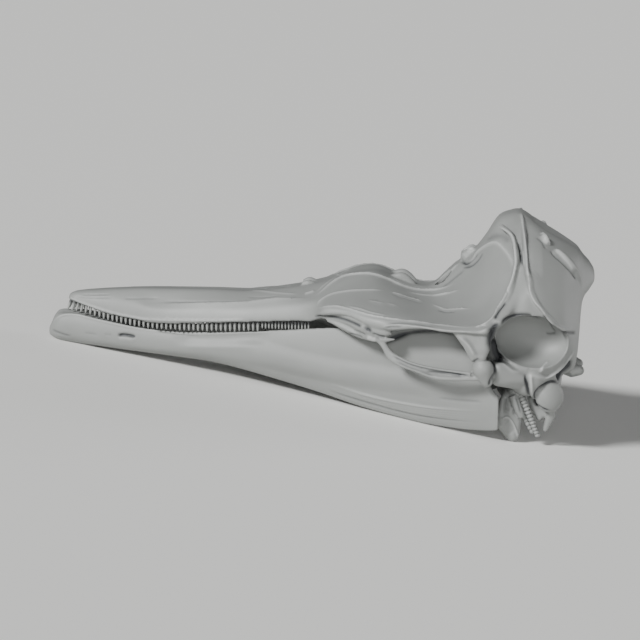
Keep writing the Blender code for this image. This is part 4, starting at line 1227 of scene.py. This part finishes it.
@dataclass
class LowerJaw:
    """The two halves of the lower jaw, which meet at the chin with a fine gap."""

    stations: tuple[Station, ...] = JAW_STATIONS
    rings: int = 220
    points_between: int = 9
    skin_voxel: float = 0.62
    skin_smooth: int = 4
    triangles: int = 110000
    gap: float = PIECE_GAP
    trimmed_x: tuple[float, float] = (-200.0, 0.0)
    trimmed_z: tuple[float, float] = (-40.0, 40.0)
    trimmed_to_y: float = 20.0

    def build(self, finish: bpy.types.Material) -> list[bpy.types.Object]:
        """Builds and dresses both halves."""
        left = add_object("lower_jaw_bone_left")
        form = closed_loft("jaw", self.stations, Side.LEFT, self.rings, self.points_between)
        fuse(left, [form], self.skin_voxel, self.skin_smooth)
        strands = [line for fan in JAW_FANS for line in fan.lines()]
        draw_relief(left.data, [Side.LEFT], [*JAW_LINES, *strands])
        thin_out(left, self.triangles)
        lowest = (self.trimmed_x[0], -self.gap / 2, self.trimmed_z[0])
        highest = (self.trimmed_x[1], self.trimmed_to_y, self.trimmed_z[1])
        carve(left, [box("beyond_the_middle", lowest, highest)])
        return dress_both(left, finish, "lower_jaw_left")


@dataclass
class EarBone:
    """The bulla of each side with its root, and the ridged rods behind it."""

    skin_voxel: float = 0.4
    skin_smooth: int = 4
    triangles: int = 60000

    def build(self, finish: bpy.types.Material) -> list[bpy.types.Object]:
        """Builds and dresses the bones of both sides."""
        left = add_object("ear_bone_left_skin")
        forms = [
            plate("bulla", BULLA, Side.LEFT),
            ellipsoid("root", EAR_ROOT, Side.LEFT),
            bar("periotic", PERIOTIC, Side.LEFT),
        ]
        fuse(left, forms, self.skin_voxel, self.skin_smooth)
        draw_relief(left.data, [Side.LEFT], EAR_LINES)
        thin_out(left, self.triangles)
        rods = [RidgedRod(*rod).mesh(finish) for rod in RODS]
        left.data = join_meshes(left.name, [left.data, *rods])
        return dress_both(left, finish, "ear_bone_left")


class GeometryRecipe:
    """A Geometry Nodes tree with named inputs, and what sets and applies it."""

    def __init__(self, name: str, kinds: dict[str, str]) -> None:
        """Starts a tree with a geometry coming in and one going out.

        Args:
            name: The tree's name.
            kinds: The kind of each named input.
        """
        self.tree = bpy.data.node_groups.new(name, "GeometryNodeTree")
        self.tree.interface.new_socket("Geometry", in_out="INPUT", socket_type="NodeSocketGeometry")
        self.tree.interface.new_socket("Geometry", in_out="OUTPUT", socket_type="NodeSocketGeometry")
        self.sockets: dict[str, str] = {}
        for label, kind in kinds.items():
            socket = self.tree.interface.new_socket(label, in_out="INPUT", socket_type=f"NodeSocket{kind}")
            self.sockets[label] = socket.identifier

    def close(self, geometry: bpy.types.NodeSocket, material: bpy.types.NodeSocket) -> None:
        """Ends the tree in realized instances with a material."""
        real = add_node(self.tree, "GeometryNodeRealizeInstances", {}, {0: geometry})
        dressed = add_node(
            self.tree, "GeometryNodeSetMaterial", {}, {"Geometry": real.outputs[0], "Material": material}
        )
        add_node(self.tree, "NodeGroupOutput", {}, {0: dressed.outputs[0]})

    def made(self, start: bpy.types.Mesh, values: dict) -> bpy.types.Mesh:
        """Runs the tree on a mesh.

        Args:
            start: What comes in.
            values: A value for each named input.

        Returns:
            A plain mesh of what goes out.
        """
        carrier = add_object("recipe_carrier", start)
        modifier = carrier.modifiers.new("recipe", "NODES")
        modifier.node_group = self.tree
        for name, value in values.items():
            modifier[self.sockets[name]] = value
        mesh = evaluated_mesh(carrier)
        bpy.data.objects.remove(carrier)
        return mesh


def path_mesh(name: str, rows: np.ndarray) -> bpy.types.Mesh:
    """Makes a mesh of edges from place to place."""
    mesh = bpy.data.meshes.new(name)
    mesh.from_pydata([tuple(row) for row in rows], [(i, i + 1) for i in range(len(rows) - 1)], [])
    return mesh


@dataclass
class RidgedRod:
    """A tapering rod with rings round it, drawn by Geometry Nodes along its path."""

    beads: tuple[Bead, ...]
    ridges: int
    neck_share: float = RIDGE_NECK_SHARE
    ridge_roundness: float = 0.8
    path_points: int = 60
    points_a_ridge: int = 12
    around: int = 24

    def recipe(self) -> GeometryRecipe:
        """Builds the tree that thickens a path into a ridged rod."""
        kinds = {
            "Root Radius": "Float",
            "Tip Radius": "Float",
            "Ridges": "Float",
            "Neck Share": "Float",
            "Points": "Int",
            "Around": "Int",
            "Material": "Material",
        }
        made = GeometryRecipe("ridged_rod", kinds)
        tree = made.tree
        entry = add_node(tree, "NodeGroupInput", {}, {}).outputs
        path = add_node(tree, "GeometryNodeMeshToCurve", {}, {0: entry["Geometry"]})
        fine = add_node(
            tree,
            "GeometryNodeResampleCurve",
            {"mode": "COUNT"},
            {"Curve": path.outputs[0], "Count": entry["Points"]},
        )
        share = add_node(tree, "GeometryNodeSplineParameter", {}, {}).outputs["Factor"]
        taper = add_node(
            tree,
            "ShaderNodeMapRange",
            {},
            {"Value": share, "To Min": entry["Root Radius"], "To Max": entry["Tip Radius"]},
        )
        turns = add_sum(tree, "MULTIPLY", share, entry["Ridges"])
        wave = add_sum(tree, "SINE", add_sum(tree, "MULTIPLY", turns, math.pi))
        bulge = add_sum(tree, "POWER", add_sum(tree, "ABSOLUTE", wave), self.ridge_roundness)
        size = add_node(
            tree, "ShaderNodeMapRange", {"To Max": 1.0}, {"Value": bulge, "To Min": entry["Neck Share"]}
        )
        radius = add_sum(tree, "MULTIPLY", taper.outputs[0], size.outputs[0])
        ring = add_node(
            tree, "GeometryNodeCurvePrimitiveCircle", {"Radius": 1.0}, {"Resolution": entry["Around"]}
        )
        skin = add_node(
            tree,
            "GeometryNodeCurveToMesh",
            {"Fill Caps": True},
            {"Curve": fine.outputs[0], "Profile Curve": ring.outputs[0], "Scale": radius},
        )
        made.close(skin.outputs[0], entry["Material"])
        return made

    def mesh(self, finish: bpy.types.Material) -> bpy.types.Mesh:
        """The rod on the left side, as a plain closed mesh."""
        given = [(x, Side.LEFT.value * y, z) for (x, y, z), radius in self.beads]
        centres = smooth_rows(given, self.path_points)
        values = {
            "Root Radius": self.beads[0][1],
            "Tip Radius": self.beads[-1][1],
            "Ridges": float(self.ridges),
            "Neck Share": self.neck_share,
            "Points": self.ridges * self.points_a_ridge + 1,
            "Around": self.around,
            "Material": finish,
        }
        return outward(self.recipe().made(path_mesh("rod_path", centres), values))


def outward(mesh: bpy.types.Mesh) -> bpy.types.Mesh:
    """Merges a mesh's doubles and turns its faces outwards."""
    with open_shape(mesh) as shape:
        bmesh.ops.remove_doubles(shape, verts=shape.verts, dist=1e-5)
        bmesh.ops.recalc_face_normals(shape, faces=shape.faces)
    return mesh


@dataclass
class ToothRows:
    """The upper teeth: on each side a long row of pegs, then a short row of small ones."""

    roots: tuple[Place, ...] = TOOTH_ROOTS
    count: int = TOOTH_COUNT
    pitch: float = TOOTH_PITCH
    length: float = TOOTH_LENGTH
    radius: float = TOOTH_RADIUS
    small_count: int = SMALL_TOOTH_COUNT
    small_pitch: float = SMALL_TOOTH_PITCH
    small_length: float = SMALL_TOOTH_LENGTH
    small_radius: float = SMALL_TOOTH_RADIUS
    buried: float = TOOTH_BURIED
    around: int = 10
    first_lean: float = 0.36
    leaning_teeth: float = 7.0
    unevenness: float = 0.08
    seed: int = 5
    line_points: int = 600
    stretch_points: int = 200

    def peg(self, name: str, length: float, radius: float) -> bpy.types.Object:
        """Makes one tooth that hangs from the origin, with a rounded tip and a neck painted dark as the
        lip's shadow.

        Args:
            name: The object's name.
            length: How far it hangs.
            radius: Its radius at the gum line.

        Returns:
            An object that holds it.
        """
        profile = [(-self.buried, PEG_ROOT_SHARE, PEG_PROFILE[0][2])]
        profile += [(share * length, width_share, painted_shade) for share, width_share, painted_shade in PEG_PROFILE]
        turns = [2 * math.pi * k / self.around for k in range(self.around)]
        rings = []
        for depth, width_share, painted_shade in profile:
            size = radius * width_share
            rings.append([(size * math.cos(a), size * math.sin(a), -depth) for a in turns])
        mesh = ring_loft(name, rings)
        # The neck's painted shadow of the lip, carried as relief for the material to darken
        layer = mesh.attributes.new(RELIEF_LAYER, "FLOAT", "POINT")
        painted_shades = [painted_shade for depth, width_share, painted_shade in profile]
        layer.data.foreach_set("value", np.repeat(painted_shades, self.around))
        return add_object(name, mesh)

    def recipe(self) -> GeometryRecipe:
        """Builds the tree that hangs a tooth at even distances along the gum line."""
        kinds = {
            "Tooth": "Object",
            "Count": "Int",
            "Lean": "Float",
            "Leaning Teeth": "Float",
            "Unevenness": "Float",
            "Seed": "Int",
            "Material": "Material",
        }
        made = GeometryRecipe("tooth_row", kinds)
        tree = made.tree
        entry = add_node(tree, "NodeGroupInput", {}, {}).outputs
        path = add_node(tree, "GeometryNodeMeshToCurve", {}, {0: entry["Geometry"]})
        spots = add_node(
            tree,
            "GeometryNodeResampleCurve",
            {"mode": "COUNT"},
            {"Curve": path.outputs[0], "Count": entry["Count"]},
        )
        points = add_node(tree, "GeometryNodeCurveToPoints", {"mode": "EVALUATED"}, {0: spots.outputs[0]})
        tooth = add_node(tree, "GeometryNodeObjectInfo", {"As Instance": False}, {"Object": entry["Tooth"]})
        index = add_node(tree, "GeometryNodeInputIndex", {}, {}).outputs[0]
        lean = add_node(
            tree,
            "ShaderNodeMapRange",
            {"From Min": 0.0, "To Max": 0.0},
            {"Value": index, "From Max": entry["Leaning Teeth"], "To Min": entry["Lean"]},
        )
        least = add_sum(tree, "SUBTRACT", 1.0, entry["Unevenness"])
        size = add_node(
            tree,
            "FunctionNodeRandomValue",
            {"data_type": "FLOAT", 3: 1.0},
            {2: least, "Seed": entry["Seed"]},
        )
        turn = add_node(tree, "ShaderNodeCombineXYZ", {}, {"Y": lean.outputs[0]})
        hung = add_node(
            tree,
            "GeometryNodeInstanceOnPoints",
            {},
            {
                "Points": points.outputs[0],
                "Instance": tooth.outputs["Geometry"],
                "Rotation": turn.outputs[0],
                "Scale": size.outputs[1],
            },
        )
        made.close(hung.outputs[0], entry["Material"])
        return made

    def gum_line(self, start: float, length: float, side: Side) -> np.ndarray:
        """Reads a stretch of the line on which the teeth stand.

        Args:
            start: How far along the line the stretch begins.
            length: How long it is.
            side: Which side it is on.

        Returns:
            Places along it.
        """
        line = smooth_rows(self.roots, self.line_points)
        walked = np.concatenate([[0], np.cumsum(np.linalg.norm(np.diff(line, axis=0), axis=1))])
        at = np.linspace(start, start + length, self.stretch_points)
        line = np.stack([np.interp(at, walked, line[:, k]) for k in range(3)], axis=1)
        return line * np.array([1.0, side.value, 1.0])

    def build(self, finish: bpy.types.Material) -> bpy.types.Object:
        """Builds and dresses all the teeth as one piece."""
        large = self.peg("large_peg", self.length, self.radius)
        small = self.peg("small_peg", self.small_length, self.small_radius)
        recipe = self.recipe()
        rows = [
            (large, self.count, 0.0, self.pitch, self.first_lean),
            (small, self.small_count, self.count * self.pitch, self.small_pitch, 0.0),
        ]
        meshes = []
        for tooth, count, start, pitch, lean in rows:
            for side in Side:
                path = path_mesh("gum_line", self.gum_line(start, (count - 1) * pitch, side))
                values = {
                    "Tooth": tooth,
                    "Count": count,
                    "Lean": lean,
                    "Leaning Teeth": self.leaning_teeth,
                    "Unevenness": self.unevenness,
                    "Seed": self.seed,
                    "Material": finish,
                }
                meshes.append(recipe.made(path, values))
        for spare in (large, small):
            bpy.data.objects.remove(spare)
        piece = add_object("upper_teeth", outward(join_meshes("upper_teeth", meshes)))
        dress(piece, finish, None)
        return piece


def flatten_below_floor(mesh: bpy.types.Mesh) -> None:
    """Wears a resting mesh flat where it would reach below the floor."""
    flat = np.empty(3 * len(mesh.vertices))
    mesh.vertices.foreach_get("co", flat)
    places = flat.reshape(-1, 3)
    places[:, 2] = np.maximum(places[:, 2], 0.0)
    mesh.vertices.foreach_set("co", places.ravel())
    mesh.update()


def dress(piece: bpy.types.Object, finish: bpy.types.Material, node: str | None) -> None:
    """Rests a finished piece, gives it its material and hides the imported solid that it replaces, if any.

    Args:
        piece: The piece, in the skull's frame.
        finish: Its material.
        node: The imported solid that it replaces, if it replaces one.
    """
    REST.settle(piece.data)
    flatten_below_floor(piece.data)
    piece.data.materials.clear()
    piece.data.materials.append(finish)
    piece.data.shade_smooth()
    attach(piece, BODY)
    if node:
        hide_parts(node)


def dress_both(
    left: bpy.types.Object, finish: bpy.types.Material, node: str
) -> list[bpy.types.Object]:
    """Mirrors a left piece to the right and dresses both.

    Args:
        left: The left piece, in the skull's frame.
        finish: The material of both.
        node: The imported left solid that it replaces.

    Returns:
        The left piece and the right one.
    """
    name = left.name.replace("left", "right")
    right = add_object(name, mirrored_mesh(left.data, name))
    dress(left, finish, node)
    dress(right, finish, node.replace("left", "right"))
    return [left, right]


class Beam(Enum):
    """The studio's soft lights: the way to each, its strength and its width in degrees."""

    KEY = ((-0.60, -0.66, 0.50), 4.3, 12.0)
    FILL = ((0.10, -0.97, 0.22), 1.2, 30.0)
    BACK = ((0.80, 0.56, 0.20), 1.0, 30.0)


@dataclass
class Studio:
    """The pale floor, the soft lights and the photograph's camera."""

    floor_colour: str = "#F2F2EF"
    floor_size: float = 80.0
    floor_roughness: float = 0.9
    floor_sheen: float = 0.1
    sky_colour: str = "#DDDFE2"
    sky_strength: float = 0.1
    seen_from: float = 0.05
    seen_to: float = 50.0

    def floor(self) -> bpy.types.Object:
        """Lays the floor that the skull rests on."""
        half = self.floor_size / 2
        corners = [(-half, -half, 0), (half, -half, 0), (half, half, 0), (-half, half, 0)]
        ground = add_object("studio_floor", mesh_from("studio_floor", corners, [(0, 1, 2, 3)]))
        matt = bpy.data.materials.new("matt_backdrop_paper")
        matt.use_nodes = True
        shader = matt.node_tree.nodes["Principled BSDF"]
        shader.inputs["Base Color"].default_value = srgb(self.floor_colour)
        shader.inputs["Roughness"].default_value = self.floor_roughness
        shader.inputs["Specular IOR Level"].default_value = self.floor_sheen
        ground.data.materials.append(matt)
        return ground

    def light(self, beam: Beam) -> bpy.types.Object:
        """Hangs a soft, far light that shines on the skull and the floor alike.

        Args:
            beam: Which one.

        Returns:
            The light.
        """
        way, strength, width = beam.value
        name = f"{beam.name.lower()}_light"
        lamp = bpy.data.lights.new(name, "SUN")
        lamp.energy, lamp.angle = strength, math.radians(width)
        made = bpy.data.objects.new(name, lamp)
        bpy.context.scene.collection.objects.link(made)
        made.location = way
        made.rotation_euler = (-Vector(way)).to_track_quat("-Z", "Y").to_euler()
        return made

    def camera(self) -> bpy.types.Object:
        """Stands the camera where the photograph was taken from."""
        lens = bpy.data.cameras.new("photo_camera")
        lens.sensor_width, lens.lens = CAMERA.sensor, CAMERA.lens()
        lens.clip_start, lens.clip_end = self.seen_from, self.seen_to
        made = bpy.data.objects.new("photo_camera", lens)
        bpy.context.scene.collection.objects.link(made)
        placed = REST.matrix() @ CAMERA.matrix()
        placed.translation *= MM
        made.matrix_world = placed
        bpy.context.scene.camera = made
        return made

    def build(self) -> None:
        """Sets the whole stage."""
        self.floor()
        for beam in Beam:
            self.light(beam)
        world = bpy.data.worlds.new("soft_sky")
        world.use_nodes = True
        sky = world.node_tree.nodes["Background"]
        sky.inputs["Color"].default_value = srgb(self.sky_colour)
        sky.inputs["Strength"].default_value = self.sky_strength
        bpy.context.scene.world = world
        self.camera()


def main() -> None:
    """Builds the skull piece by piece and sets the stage."""
    logging.basicConfig(level=logging.INFO, format="%(name)s: %(message)s")
    bone = GreyBone().material()
    tooth = GreyBone("grey_tooth_enamel", "#A6A8A5", "#9A9C99", roughness=0.4, mottle_mm=6.0).material()
    ear = GreyBone("dense_ear_bone", "#8E908E", "#848684", roughness=0.46).material()
    built = [Cranium().build(bone), ToothRows().build(tooth)]
    built += LowerJaw().build(bone)
    built += EarBone().build(ear)
    for piece in built:
        LOG.info("%s: %d faces", piece.name, len(piece.data.polygons))
    Studio().build()


if __name__ == "__main__":
    main()
